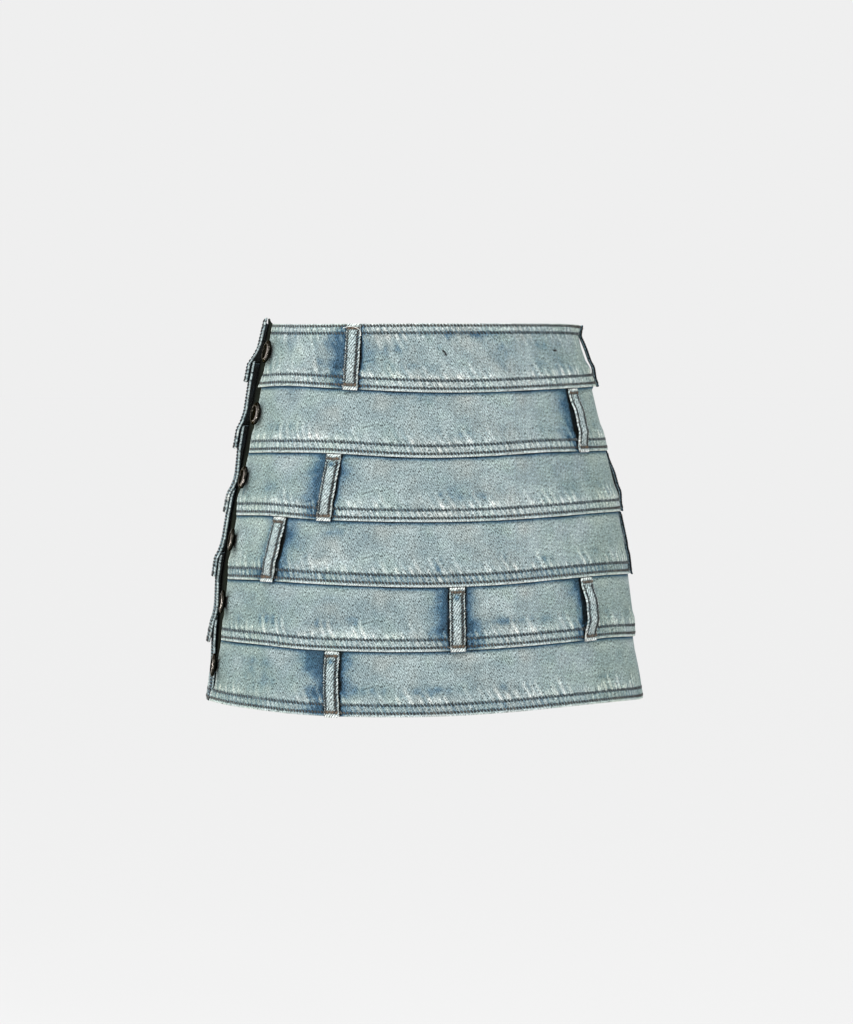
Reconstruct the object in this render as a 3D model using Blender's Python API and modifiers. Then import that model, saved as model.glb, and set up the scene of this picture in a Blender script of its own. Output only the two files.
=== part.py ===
"""A six-tier denim mini skirt with belt loops on its tiers and a buttoned opening down one side.

Metres, +Z up. The front faces -Y, and the wearer's left is +X. The origin is the middle of the waist, level
with the top edge, where the wearer holds the skirt up. Tables are in millimetres and degrees, as a pattern
cutter writes them, and MM turns them to metres.

Every ring round the body is two half ellipses. A place on a ring is an angle: 0 at centre front, 90 at the
wearer's left side, 180 at centre back and -90 (or 270) at the wearer's right side, beside the opening.
A place down the skirt is a level: 0 at the waist, 1 at the first seam, and so on to 6 at the hem.
"""

import math

import bmesh
import bpy
from mathutils import Matrix, Vector

MM = 0.001

# Cloth
WALL = 2.0  # two layers of denim with their turnings
SEAM_GAP = 0.4  # between one layer and the next, and 0.3 or more once the walls slope
STEP = WALL + SEAM_GAP  # how far each tier's top lies inside the tier above
LAP = 18.0  # how far each tier's top runs up under the tier above
TIERS = 6

# The rings where each tier ends: its half width, and how deep it is from the middle to the front and the back.
RINGS = (
    # half_width, front_depth, back_depth
    (133.5, 98.0, 104.0),
    (147.0, 106.0, 112.0),
    (157.0, 113.0, 119.0),
    (168.0, 119.5, 126.0),
    (176.4, 124.5, 131.0),
    (180.8, 127.5, 134.5),
    (186.2, 130.5, 137.5),
)
# How high each ring lies round the body, because the tiers hang a little unevenly.
HEIGHT_ANGLES = (-70.0, -50.0, -30.0, 0.0, 20.0, 40.0, 60.0, 90.0, 180.0, 262.0, 282.0)
HEIGHTS = (
    # opening, right_hip, right_front, centre_front, left_front, left_hip_front, left_hip, side, back, right_side, back_corner
    (0.0, 0.0, 0.2, 0.6, 0.6, 0.6, 0.3, -1.0, 0.0, 0.0, 5.6),
    (-52.8, -50.9, -52.4, -55.4, -55.5, -54.0, -52.9, -52.5, -54.5, -49.9, -48.6),
    (-107.6, -105.8, -105.4, -108.5, -107.4, -105.1, -105.4, -106.6, -107.5, -105.2, -104.6),
    (-159.6, -157.8, -159.6, -160.5, -159.8, -157.8, -156.6, -158.0, -160.0, -158.9, -158.6),
    (-213.0, -211.0, -211.8, -213.3, -212.0, -209.0, -208.2, -211.2, -213.0, -212.9, -212.8),
    (-264.3, -263.8, -265.6, -265.5, -263.4, -260.9, -260.0, -264.5, -266.0, -267.6, -268.0),
    (-316.5, -317.3, -319.0, -318.4, -316.1, -313.6, -313.6, -317.4, -319.5, -318.4, -318.0),
)
CENTRE_FRONT = HEIGHT_ANGLES.index(0.0)

# Rows of points down a tier, as shares of its visible height. Between the fourth and the fifth row a tier
# rises over the top edge of the next one, which lies behind it.
ROWS = (0.0, 0.18, 0.36, 0.58, 0.70, 1.0)
RIDGE = 0.9
RIDGE_START, RIDGE_FULL = ROWS[3], ROWS[4]
COLUMN = 6.0  # degrees from one column of points to the next, the same on every layer

# The side opening. The front tiers' free edge, as angles at three rows of each tier.
FRONT_EDGE = (
    # tier, at_top, above_hem, at_hem
    (1, -71.0, -66.8, -70.5),
    (2, -69.2, -67.7, -68.3),
    (3, -70.8, -70.1, -68.7),
    (4, -70.4, -69.3, -68.1),
    (5, -70.2, -69.3, -69.6),
    (6, -71.8, -72.0, -76.0),
)
ABOVE_HEM = 0.75  # the row of the middle angle
# The back tiers end further round, and their loose corners stand away from the body by these distances.
BACK_EDGE = 282.0
BACK_LIFT = (
    # tier, at_seam, at_middle, above_hem, at_hem
    (1, 1.6, 0.0, 5.0, 5.0),
    (2, 2.4, 1.6, 4.0, 3.4),
    (3, 0.9, -0.8, 1.9, 1.9),
    (4, 0.9, -0.6, 1.8, 2.6),
    (5, 1.1, -0.9, 2.0, 4.0),
    (6, 0.9, -1.4, -2.4, -2.4),
)
LIFT_ROWS = (0.0, 0.45, 0.72, 1.0)
LIFT_FADE = 28.0  # degrees over which the corner comes back to the body

# The side seam at the wearer's left: half of the gap between front and back, in degrees.
SIDE_SEAM = 90.0
HALF_SEAM = 0.1
# Beside that seam the top tier hollows in between the waist and its lower edge: how far in, at each of ROWS.
SIDE_HOLLOW = (0.0, 4.6, 4.9, 3.9, 2.8, 0.0)
HOLLOW_SPREAD = 45.0  # degrees to each side over which the hollow fades

# The button stand lies behind both free edges. Its top is cut on a slant: above the waist at its outer edge, and
# below it behind the front.
STAND_ANGLES = (-88.0, -84.0, -78.0, -72.0, -66.0, -60.0, -54.0)
STAND_RISE = 5.0
STAND_DIP = 4.0
STAND_SLANT_END = -66.0
STAND_SHORT = 6.0  # how far it ends above the hem
STAND_WALL = 2.0
STAND_TUCK = 7.2  # its lower end lies this far inside the hem's outer face, clear of the tucked back corner

# Buttons, one for each tier. The head's turn tips it towards the opening.
BUTTONS = (
    # tier, angle, height, turn, stand_off
    (1, -64.5, -23.9, 15.5, 3.0),
    (2, -64.6, -75.4, 11.0, 3.2),
    (3, -65.4, -128.6, 15.0, 3.2),
    (4, -65.1, -180.7, 23.0, 4.2),
    (5, -66.0, -232.1, 23.0, 4.8),
    (6, -68.4, -285.5, 20.0, 5.2),
)
HEAD_RADIUS = 9.7
SHANK_RADIUS = 2.6
SHANK_PLAY = 0.5  # between the shank and its buttonhole
HEAD_THICK = 3.4
COLLAR_RADIUS = 5.0
COLLAR_DEEP = 1.2
BUTTON_STEPS = 20
SHANK_END_GAP = 0.4  # from the end of the shank to the stand

# Belt loops: the angle of the middle of the strip at its top and its bottom, how far it bows out, and how far its
# middle sways to the wearer's left.
LOOP_WIDTH = 12.2
LOOP_WALL = 2.0
LOOP_SEAT = 0.3
LOOP_OVERHANG = 0.8  # how far the loop's end covers the tier's lower edge
LOOP_ROWS = 9
LOOP_SEWN = 0.10  # the share of the loop at each end that lies on the cloth
LOOPS = (
    # name, tier, at_top, at_bottom, bow, sway
    ("loop_1_front", 1, -24.8, -23.7, 1.6, 1.0),
    ("loop_1_left", 1, 91.5, 92.0, 2.5, 0.0),
    ("loop_1_back", 1, 139.0, 140.5, 1.8, 0.6),
    ("loop_1_back_right", 1, 214.0, 213.0, 1.8, -0.8),
    ("loop_2_left", 2, 58.6, 57.7, 2.8, 0.3),
    ("loop_2_back", 2, 172.0, 171.0, 1.7, 0.5),
    ("loop_2_right", 2, 243.0, 244.5, 2.1, -0.4),
    ("loop_3_front", 3, -27.7, -28.7, 1.6, 0.3),
    ("loop_3_left", 3, 97.0, 92.5, 1.7, 0.0),
    ("loop_3_back", 3, 196.0, 197.5, 1.8, 0.7),
    ("loop_4_right", 4, -44.9, -46.6, 1.8, 1.2),
    ("loop_4_left", 4, 90.5, 87.5, 0.8, 0.0),
    ("loop_4_back", 4, 152.0, 151.0, 1.7, 0.5),
    ("loop_5_front", 5, 9.2, 9.05, 1.5, -0.5),
    ("loop_5_left", 5, 50.3, 49.4, 3.3, 1.5),
    ("loop_5_back", 5, 222.0, 221.0, 1.9, -0.6),
    ("loop_6_front", 6, -24.3, -23.3, 1.6, -0.3),
    ("loop_6_back", 6, 127.0, 128.0, 1.8, 0.4),
    ("loop_6_back_right", 6, 184.0, 183.0, 1.6, -0.5),
)

DENIM = ("washed_denim", (0.42, 0.52, 0.55), 0.0, 0.9)
DARK_DENIM = ("dark_denim", (0.03, 0.035, 0.035), 0.0, 0.9)
COPPER = ("antique_copper", (0.16, 0.12, 0.10), 1.0, 0.4)


def clear_scene():
    """Removes every object that the scene starts with."""
    for thing in list(bpy.data.objects):
        bpy.data.objects.remove(thing, do_unlink=True)


def between(low, high, share):
    return low + (high - low) * share


def read_table(rows, places, value):
    """Straight lines between the rows of a table: places go up, and rows holds the number at each."""
    if value <= places[0]:
        return rows[0]
    for i in range(1, len(places)):
        if value <= places[i]:
            return between(rows[i - 1], rows[i], (value - places[i - 1]) / (places[i] - places[i - 1]))
    return rows[-1]


def smooth(share):
    share = min(1.0, max(0.0, share))
    return share * share * (3.0 - 2.0 * share)


def curve_through(places, values, at):
    """A smooth curve through a table's values, with each slope taken from the neighbours on both sides."""
    if at <= places[0]:
        return values[0]
    if at >= places[-1]:
        return values[-1]
    last = len(places) - 1
    slopes = []
    for i in range(len(places)):
        low, high = max(0, i - 1), min(last, i + 1)
        slopes.append((values[high] - values[low]) / (places[high] - places[low]))
    i = max(j for j in range(last) if places[j] <= at)
    span = places[i + 1] - places[i]
    share = (at - places[i]) / span
    square, cube = share**2, share**3
    return (
        values[i] * (2 * cube - 3 * square + 1)
        + values[i + 1] * (3 * square - 2 * cube)
        + span * slopes[i] * (cube - 2 * square + share)
        + span * slopes[i + 1] * (cube - square)
    )


def tier_height(tier):
    """The visible height of a tier at centre front."""
    return HEIGHTS[tier - 1][CENTRE_FRONT] - HEIGHTS[tier][CENTRE_FRONT]


def height_at(level, angle):
    """The height of a level at an angle, straight from ring to ring."""
    ring = min(TIERS - 1, max(0, math.floor(level)))
    upper = curve_through(HEIGHT_ANGLES, HEIGHTS[ring], angle)
    lower = curve_through(HEIGHT_ANGLES, HEIGHTS[ring + 1], angle)
    return between(upper, lower, level - ring)


def side_hollow(level, angle):
    """How far the top tier hollows in beside the left side seam. The hidden top of the second tier follows it."""
    spread = smooth(1.0 - abs(angle - SIDE_SEAM) / HOLLOW_SPREAD)
    return read_table(SIDE_HOLLOW, ROWS, level) * spread


def ridge_at(row):
    """How far a tier stands out over the edge of the layer behind it."""
    rise = smooth((row - RIDGE_START) / (RIDGE_FULL - RIDGE_START))
    fall = smooth((row - RIDGE_FULL) / (1.0 - RIDGE_FULL))
    return RIDGE * rise * (1.0 - fall)


def half_sizes(tier, level):
    """Half width, front depth and back depth of a tier's outer face.

    From its upper ring, where it lies a step inside the tier above, a tier widens straight to its lower ring.
    Its hidden top follows the inside of the tier above.
    """
    row = level - (tier - 1)
    if row < 0 and tier > 1:
        return [size - STEP for size in half_sizes(tier - 1, level)]
    inset = STEP if tier > 1 else 0.0
    ridge = ridge_at(row) if tier < TIERS else 0.0
    pairs = zip(RINGS[tier - 1], RINGS[tier])
    return [between(upper - inset, lower, row) + ridge for upper, lower in pairs]


def back_lift(tier, level, angle):
    """How far a back tier's loose corner stands away from the body, and no further than the tier above it."""
    row = level - (tier - 1)
    lift = read_table(BACK_LIFT[tier - 1][1:], LIFT_ROWS, row)
    if row < 0 and tier > 1:
        lift = min(lift, read_table(BACK_LIFT[tier - 2][1:], LIFT_ROWS, row + 1))
    return lift * smooth((angle - BACK_EDGE + LIFT_FADE) / LIFT_FADE)


def on_ring(sizes, angle, height, lift=0.0):
    """The point of a ring at an angle, in metres."""
    width, front, back = (size + lift for size in sizes)
    turn = math.radians(angle)
    depth = front if math.cos(turn) > 0 else back
    return Vector((width * math.sin(turn), -depth * math.cos(turn), height)) * MM


def tier_point(tier, level, angle, out=0.0):
    """A point of a tier's outer face, moved out by some millimetres."""
    lift = back_lift(tier, level, angle) if angle > SIDE_SEAM else 0.0
    moved = lift + out - side_hollow(level, angle)
    return on_ring(half_sizes(tier, level), angle, height_at(level, angle), moved)


def tier_normal(tier, level, angle):
    """The outward direction of a tier's face, from points a little to each side."""
    across = tier_point(tier, level, angle + 1.0) - tier_point(tier, level, angle - 1.0)
    down = tier_point(tier, level + 0.02, angle) - tier_point(tier, level - 0.02, angle)
    return down.cross(across).normalized()


def tier_levels(tier):
    """The levels of a tier's rows of points, from its hidden top down to its lower edge."""
    levels = [tier - 1 + row for row in ROWS]
    if tier > 1:
        lap = LAP / tier_height(tier - 1)
        levels.insert(0, tier - 1 - lap)
    return levels


def front_edge(tier, level):
    """The angle of a front tier's free edge at a level."""
    row = max(0.0, level - (tier - 1))
    return read_table(FRONT_EDGE[tier - 1][1:], (0.0, ABOVE_HEM, 1.0), row)


def columns_between(low, high):
    """The columns of points that lie between two angles, at the same angles on every layer."""
    first = math.floor(low / COLUMN) + 1
    last = math.ceil(high / COLUMN) - 1
    return [COLUMN * i for i in range(first, last + 1)]


def material(name, colour, metallic, roughness):
    """One Principled material for each finish."""
    found = bpy.data.materials.get(name)
    if found:
        return found
    made = bpy.data.materials.new(name)
    made.use_nodes = True
    shader = made.node_tree.nodes["Principled BSDF"]
    shader.inputs["Base Color"].default_value = (*colour, 1.0)
    shader.inputs["Metallic"].default_value = metallic
    shader.inputs["Roughness"].default_value = roughness
    made.diffuse_color = (*colour, 1.0)
    return made


def collection(name):
    made = bpy.data.collections.new(name)
    bpy.context.scene.collection.children.link(made)
    return made


def sheet_object(name, rows, thickness, finish, into):
    """A closed wall: an open grid of points, row by row, made solid on its inner side.

    Rows run down and columns run with the angle, so that the faces point away from the body.
    """
    mesh = bpy.data.meshes.new(name)
    grid = bmesh.new()
    points = [[grid.verts.new(point) for point in row] for row in rows]
    for upper, lower in zip(points, points[1:]):
        for i in range(len(upper) - 1):
            grid.faces.new((upper[i], lower[i], lower[i + 1], upper[i + 1]))
    grid.to_mesh(mesh)
    grid.free()
    mesh.shade_smooth()
    mesh.materials.append(material(*finish))
    made = bpy.data.objects.new(name, mesh)
    into.objects.link(made)
    wall = made.modifiers.new("wall", "SOLIDIFY")
    wall.thickness = thickness * MM
    wall.offset = -1.0
    wall.use_even_offset = True
    return made


def make_front_tier(tier, into):
    """A front tier, from its free edge at the opening round to the side seam."""
    inner_columns = columns_between(max(FRONT_EDGE[tier - 1][1:]), SIDE_SEAM)
    rows = []
    for level in tier_levels(tier):
        angles = [front_edge(tier, level), *inner_columns, SIDE_SEAM - HALF_SEAM]
        rows.append([tier_point(tier, level, angle) for angle in angles])
    return sheet_object(f"front_tier_{tier}", rows, WALL, DENIM, into)


def make_back_tier(tier, into):
    """A back tier, from the side seam round to its loose edge at the opening."""
    angles = [SIDE_SEAM + HALF_SEAM, *columns_between(SIDE_SEAM, BACK_EDGE), BACK_EDGE]
    rows = []
    for level in tier_levels(tier):
        rows.append([tier_point(tier, level, angle) for angle in angles])
    return sheet_object(f"back_tier_{tier}", rows, WALL, DENIM, into)


def stand_sizes(level):
    """The button stand's outer face: behind both layers where tiers lap, and straight in between."""
    behind = {0.0: [size - STEP for size in half_sizes(1, 0.0)]}
    for tier in range(1, TIERS):
        for place in (tier - LAP / tier_height(tier), float(tier)):
            behind[place] = [size - 2 * STEP for size in half_sizes(tier, place)]
    behind[float(TIERS)] = [size - STAND_TUCK for size in half_sizes(TIERS, float(TIERS))]
    places = sorted(behind)
    return [read_table([behind[place][i] for place in places], places, level) for i in range(3)]


def make_button_stand(into):
    """The dark strip behind the opening, from its slanting top at the waist almost to the hem."""
    slant = (STAND_ANGLES[0], STAND_SLANT_END)
    tops = [read_table((-STAND_RISE, STAND_DIP), slant, angle) / tier_height(1) for angle in STAND_ANGLES]
    levels = []
    for tier in range(1, TIERS):
        levels += [tier - LAP / tier_height(tier), float(tier)]
    levels.append(TIERS - STAND_SHORT / tier_height(TIERS))
    rows = []
    for row_levels in (tops, *([level] * len(STAND_ANGLES) for level in levels)):
        places = zip(row_levels, STAND_ANGLES)
        rows.append([on_ring(stand_sizes(level), angle, height_at(level, angle)) for level, angle in places])
    return sheet_object("button_stand", rows, STAND_WALL, DARK_DENIM, into)


def level_of(height, angle):
    """The level that lies at a height, found by halving."""
    low, high = 0.0, float(TIERS)
    for _ in range(40):
        middle = (low + high) / 2
        if height_at(middle, angle) > height:
            low = middle
        else:
            high = middle
    return (low + high) / 2


def depth_to_stand(tier, level, angle):
    """How far the stand's face lies behind a tier's outer face."""
    tier_face = tier_point(tier, level, angle)
    stand_face = on_ring(stand_sizes(level), angle, height_at(level, angle))
    return (tier_face - stand_face).dot(tier_normal(tier, level, angle)) / MM


def make_button(tier, angle, height, turn, stand_off, into):
    """A jeans button: a domed head with a raised ring, and a shank through the cloth to the stand."""
    level = level_of(height, angle)
    normal = tier_normal(tier, level, angle)
    tip = math.radians(turn)
    room = depth_to_stand(tier, level, angle) - SHANK_END_GAP - SHANK_RADIUS * math.sin(tip)
    tail = room / math.cos(tip)
    top = stand_off + HEAD_THICK
    profile = (
        (0.0, top - 0.5),
        (HEAD_RADIUS * 0.48, top - 0.7),
        (HEAD_RADIUS * 0.66, top),
        (HEAD_RADIUS * 0.86, top - 0.5),
        (HEAD_RADIUS, stand_off + 0.5 * HEAD_THICK),
        (HEAD_RADIUS * 0.95, stand_off + 0.3),
        (COLLAR_RADIUS + 0.4, stand_off),
        (COLLAR_RADIUS, stand_off - COLLAR_DEEP),
        (SHANK_RADIUS, stand_off - COLLAR_DEEP - 0.2),
        (SHANK_RADIUS, -tail),
        (0.0, -tail),
    )
    mesh = bpy.data.meshes.new(f"button_{tier}")
    edges = [(i, i + 1) for i in range(len(profile) - 1)]
    mesh.from_pydata([(radius * MM, 0.0, out * MM) for radius, out in profile], edges, [])
    mesh.materials.append(material(*COPPER))
    made = bpy.data.objects.new(f"button_{tier}", mesh)
    into.objects.link(made)
    spin = made.modifiers.new("turned", "SCREW")
    spin.steps = spin.render_steps = BUTTON_STEPS
    spin.use_merge_vertices = True
    spin.merge_threshold = 0.00001
    spin.use_smooth_shade = True
    place = tier_point(tier, level, angle)
    lean = Matrix.Rotation(-tip, 4, "Z")
    made.matrix_world = Matrix.Translation(place) @ lean @ normal.to_track_quat("Z", "Y").to_matrix().to_4x4()
    return made


def cut_buttonhole(front, button, cutters):
    """A round hole in the front tier that the button's shank passes through."""
    mesh = bpy.data.meshes.new(f"cutter_{button.name}")
    drum = bmesh.new()
    bmesh.ops.create_cone(
        drum,
        cap_ends=True,
        segments=16,
        radius1=(SHANK_RADIUS + SHANK_PLAY) * MM,
        radius2=(SHANK_RADIUS + SHANK_PLAY) * MM,
        depth=5 * WALL * MM,
    )
    drum.to_mesh(mesh)
    drum.free()
    cutter = bpy.data.objects.new(f"cutter_{button.name}", mesh)
    cutters.objects.link(cutter)
    cutter.matrix_world = button.matrix_world
    cutter.hide_render = True
    cutter.display_type = "WIRE"
    cut = front.modifiers.new("buttonhole", "BOOLEAN")
    cut.operation = "DIFFERENCE"
    cut.object = cutter


def make_loop(name, tier, at_top, at_bottom, bow, sway, into):
    """A belt loop: the tier's own points moved out, flat at its sewn ends and bowed between them."""
    height = tier_height(tier)
    start = tier - 1 + (2 * LOOP_SEAT / height if tier > 1 else 0.0)
    end = tier + LOOP_OVERHANG / height
    rows = []
    for i in range(LOOP_ROWS):
        share = i / (LOOP_ROWS - 1)
        level = between(start, end, share)
        middle = between(at_top, at_bottom, share)
        rise = smooth((share - LOOP_SEWN) / 0.3) * smooth((1.0 - LOOP_SEWN - share) / 0.3)
        out = LOOP_SEAT + LOOP_WALL + bow * rise
        one_degree = (tier_point(tier, level, middle + 0.5) - tier_point(tier, level, middle - 0.5)).length
        middle += sway * MM * math.sin(math.pi * share) / one_degree
        half = LOOP_WIDTH * MM / 2 / one_degree
        rows.append([tier_point(tier, level, middle + side * half, out) for side in (-1.0, 0.0, 1.0)])
    return sheet_object(name, rows, LOOP_WALL, DENIM, into)


def main():
    clear_scene()
    skirt = collection("denim_skirt")
    cutters = collection("cutters")
    fronts = [make_front_tier(tier, skirt) for tier in range(1, TIERS + 1)]
    for tier in range(1, TIERS + 1):
        make_back_tier(tier, skirt)
    make_button_stand(skirt)
    for tier, angle, height, turn, stand_off in BUTTONS:
        button = make_button(tier, angle, height, turn, stand_off, skirt)
        cut_buttonhole(fronts[tier - 1], button, cutters)
    for name, tier, at_top, at_bottom, bow, sway in LOOPS:
        make_loop(name, tier, at_top, at_bottom, bow, sway, skirt)


main()
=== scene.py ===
# %% [markdown]
# # A denim mini skirt made of six waistbands
#
# The skirt is six strips of bleached denim, each lapped under the one above and topstitched twice along
# its lower edge, with belt loops scattered over them and a row of metal buttons down a side opening. The
# CAD model gives every place and size. Here each of its plain walls is swapped for the same wall with
# finished edges, gathers, stitches and wash. We start by loading the model.

# %% Load the fixed frame
import math

import bpy
import numpy as np
from mathutils import Matrix, Vector


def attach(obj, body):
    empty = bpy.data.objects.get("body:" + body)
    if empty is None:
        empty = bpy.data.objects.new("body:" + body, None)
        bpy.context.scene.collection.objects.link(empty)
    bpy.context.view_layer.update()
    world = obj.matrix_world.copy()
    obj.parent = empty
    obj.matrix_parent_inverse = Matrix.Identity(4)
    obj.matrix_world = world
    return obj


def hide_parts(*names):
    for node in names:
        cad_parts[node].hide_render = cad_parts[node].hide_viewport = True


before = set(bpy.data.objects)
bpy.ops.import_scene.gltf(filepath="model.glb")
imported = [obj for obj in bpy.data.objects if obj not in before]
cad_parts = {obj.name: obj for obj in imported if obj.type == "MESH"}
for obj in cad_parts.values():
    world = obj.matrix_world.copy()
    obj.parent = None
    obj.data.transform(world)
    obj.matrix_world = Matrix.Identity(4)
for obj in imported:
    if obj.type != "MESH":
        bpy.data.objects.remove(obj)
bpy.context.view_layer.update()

MM = 0.001

# %% [markdown]
# ## Camera
#
# A long lens from a little above the waist, 2.65 m in front of the skirt, keeps the tiers' curved edges
# flat. A short lens would bend the lower tiers more than the upper ones.

# %% The camera
FOCAL_LENGTH = 109.86
CAMERA_PLACE = (2.97 * MM, -2.65, 0.0)
LOOKS_DOWN = 3.443  # degrees

lens = bpy.data.cameras.new("front_camera")
lens.sensor_fit = "VERTICAL"
lens.sensor_width = lens.sensor_height = 36.0
lens.lens = FOCAL_LENGTH
camera = bpy.data.objects.new("front_camera", lens)
camera.location = CAMERA_PLACE
camera.rotation_euler = (math.radians(90.0 - LOOKS_DOWN), 0.0, 0.0)
bpy.context.scene.collection.objects.link(camera)
bpy.context.scene.camera = camera
print("camera at", tuple(camera.location))

# %% [markdown]
# ## Colours and nodes
#
# Colours are written as on a dyer's card, in sRGB hex, and one function turns them to the linear values
# that a shader counts in. One more adds a node with its settings and its links, so that a material reads
# as a recipe. A new ramp has two stops, and gets as many as it needs.

# %% Two helpers for materials
def linear(colour):
    """#rrggbb to linear: a channel c of 0 to 1 is ((c + 0.055) / 1.055) ^ 2.4, or c / 12.92 up to 0.04."""
    channels = np.array([int(colour[i : i + 2], 16) for i in (1, 3, 5)]) / 255.0
    return np.where(channels > 0.04045, ((channels + 0.055) / 1.055) ** 2.4, channels / 12.92)


def add(tree, kind, links=(), stops=(), **settings):
    """Adds one node. A link is (input, value) or (input, node, output), a ramp's stop (place, colour)."""
    made = tree.nodes.new(kind)
    for name, value in settings.items():
        setattr(made, name, value)
    if stops:
        elements = made.color_ramp.elements
        while len(elements) < len(stops):
            elements.new(0.5)
        for element, (place, colour) in zip(elements, stops):
            element.position = place
            element.color = (*linear(colour), 1.0)
    for target, *source in links:
        if len(source) == 2:
            tree.links.new(source[0].outputs[source[1]], made.inputs[target])
        else:
            made.inputs[target].default_value = source[0]
    return made


def new_material(name):
    """An empty material and its node tree."""
    made = bpy.data.materials.new(name)
    made.use_nodes = True
    made.node_tree.nodes.clear()
    return made, made.node_tree


print("#efefef is", linear("#efefef").round(3))

# %% [markdown]
# ## Light and floor
#
# A pale studio: an even white surround does most of the work, and one broad soft lamp from the upper left
# gives each edge its thin shadow. Three soft boxes are there for the metal, which shows only what it
# reflects, and so is a white card on the left, whose light the cloth does not get. The floor is matt
# paper a metre below the waist, and its colour is worked out so that it meets the surround unseen.

# %% The surround, the lamps and the floor
SURROUND = linear("#efefef")[0]
KEY_STRENGTH = 1.15
KEY_HEIGHT = math.radians(50.0)
KEY_SIDE = math.radians(-20.0)
KEY_SOFTNESS = math.radians(16.0)
FLOOR_HALF, FLOOR_HEIGHT = 40.0, -1.0
BOXES = (
    # name, place, aimed_at, watts, width, height
    ("box_left", (-1.6, -1.5, 0.9), (-0.15, 0.0, -0.15), 9.0, 0.12, 0.7),
    ("box_behind", (-1.74, 1.2, -0.33), (-0.14, 0.0, -0.13), 4.0, 0.1, 0.6),
    ("card_left", (-2.13, -0.97, -0.5), (-0.15, 0.0, -0.15), 24.0, 0.32, 0.8),
    ("box_front", (0.5, -2.6, 1.3), (-0.1, 0.0, -0.15), 6.0, 0.16, 0.16),
)

bpy.context.scene.view_settings.view_transform = "Standard"
world = bpy.data.worlds.new("pale_studio")
bpy.context.scene.world = world
world.use_nodes = True
world.node_tree.nodes["Background"].inputs["Color"].default_value = (SURROUND, SURROUND, SURROUND, 1.0)


def lamp(name, kind, location, towards, energy, **settings):
    """A lamp, which shines along its own -Z, turned to a point. No camera sees it."""
    made = bpy.data.lights.new(name, kind)
    made.energy = energy
    for setting, value in settings.items():
        setattr(made, setting, value)
    thing = bpy.data.objects.new(name, made)
    thing.visible_camera = False
    thing.location = location
    thing.rotation_euler = (Vector(towards) - thing.location).to_track_quat("-Z", "Y").to_euler()
    bpy.context.scene.collection.objects.link(thing)
    return thing


key_from = Vector((math.sin(KEY_SIDE), -math.cos(KEY_SIDE), math.tan(KEY_HEIGHT))) * 3.0
lamp("key", "SUN", key_from, (0, 0, 0), KEY_STRENGTH, angle=KEY_SOFTNESS)
for name, location, towards, watts, width, height in BOXES:
    box = lamp(name, "AREA", location, towards, watts, shape="RECTANGLE", size=width, size_y=height)
    box.visible_diffuse = name != "card_left"

floor_mesh = bpy.data.meshes.new("floor")
signs = ((-1, -1), (1, -1), (1, 1), (-1, 1))
corners = [(x * FLOOR_HALF, y * FLOOR_HALF, FLOOR_HEIGHT) for x, y in signs]
floor_mesh.from_pydata(corners, [], [(0, 1, 2, 3)])
floor = bpy.data.objects.new("floor", floor_mesh)
bpy.context.scene.collection.objects.link(floor)
paper, tree = new_material("matt_studio_paper")
on_floor = SURROUND + KEY_STRENGTH * math.sin(KEY_HEIGHT) / math.pi
albedo = SURROUND / on_floor
matt = add(tree, "ShaderNodeBsdfDiffuse", [("Color", (albedo, albedo, albedo, 1.0))])
add(tree, "ShaderNodeOutputMaterial", [("Surface", matt, 0)])
floor_mesh.materials.append(paper)
print("the floor's own grey is", round(albedo, 3))

# %% [markdown]
# ## The pattern cutter's tables
#
# These are the sizes the CAD solids were made from, in millimetres and degrees. A place round the body is
# an angle: 0 at centre front, 90 at the wearer's left side, 180 at centre back and 282 at the back's
# loose edge. A place down the skirt is a level: 0 at the waist, 1 at the first seam, and 6 at the hem.

# %% Sizes of the tiers
WALL = 2.0  # two layers of denim and their turnings
HALF = WALL / 2
STEP = 2.4  # from one layer's outer face to that of the layer behind
LAP = 18.0  # how far a tier tucks under the one above
TIERS = 6
RINGS = np.array((
    # half_width, front_depth, back_depth
    (133.5, 98.0, 104.0),
    (147.0, 106.0, 112.0),
    (157.0, 113.0, 119.0),
    (168.0, 119.5, 126.0),
    (176.4, 124.5, 131.0),
    (180.8, 127.5, 134.5),
    (186.2, 130.5, 137.5),
))
HEIGHT_ANGLES = (-70.0, -50.0, -30.0, 0.0, 20.0, 40.0, 60.0, 90.0, 180.0, 262.0, 282.0)
HEIGHTS = (
    # at each of those angles: opening, right hip, right front, centre front, left front, two at the left
    # hip, left side, centre back, right side, back corner
    (0.0, 0.0, 0.2, 0.6, 0.6, 0.6, 0.3, -1.0, 0.0, 0.0, 5.6),
    (-52.8, -50.9, -52.4, -55.4, -55.5, -54.0, -52.9, -52.5, -54.5, -49.9, -48.6),
    (-107.6, -105.8, -105.4, -108.5, -107.4, -105.1, -105.4, -106.6, -107.5, -105.2, -104.6),
    (-159.6, -157.8, -159.6, -160.5, -159.8, -157.8, -156.6, -158.0, -160.0, -158.9, -158.6),
    (-213.0, -211.0, -211.8, -213.3, -212.0, -209.0, -208.2, -211.2, -213.0, -212.9, -212.8),
    (-264.3, -263.8, -265.6, -265.5, -263.4, -260.9, -260.0, -264.5, -266.0, -267.6, -268.0),
    (-316.5, -317.3, -319.0, -318.4, -316.1, -313.6, -313.6, -317.4, -319.5, -318.4, -318.0),
)
CENTRE_HEIGHTS = [row[HEIGHT_ANGLES.index(0.0)] for row in HEIGHTS]
RIDGE = 0.9  # how far a tier swells over the layer behind it
RIDGE_START, RIDGE_FULL = 0.58, 0.70  # shares of the way down a tier
FRONT_EDGE = (
    # at_top, above_hem, at_hem
    (-71.0, -66.8, -70.5),
    (-69.2, -67.7, -68.3),
    (-70.8, -70.1, -68.7),
    (-70.4, -69.3, -68.1),
    (-70.2, -69.3, -69.6),
    (-71.8, -72.0, -76.0),
)
ABOVE_HEM = 0.75  # the table's middle column, as a share of the way down
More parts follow.
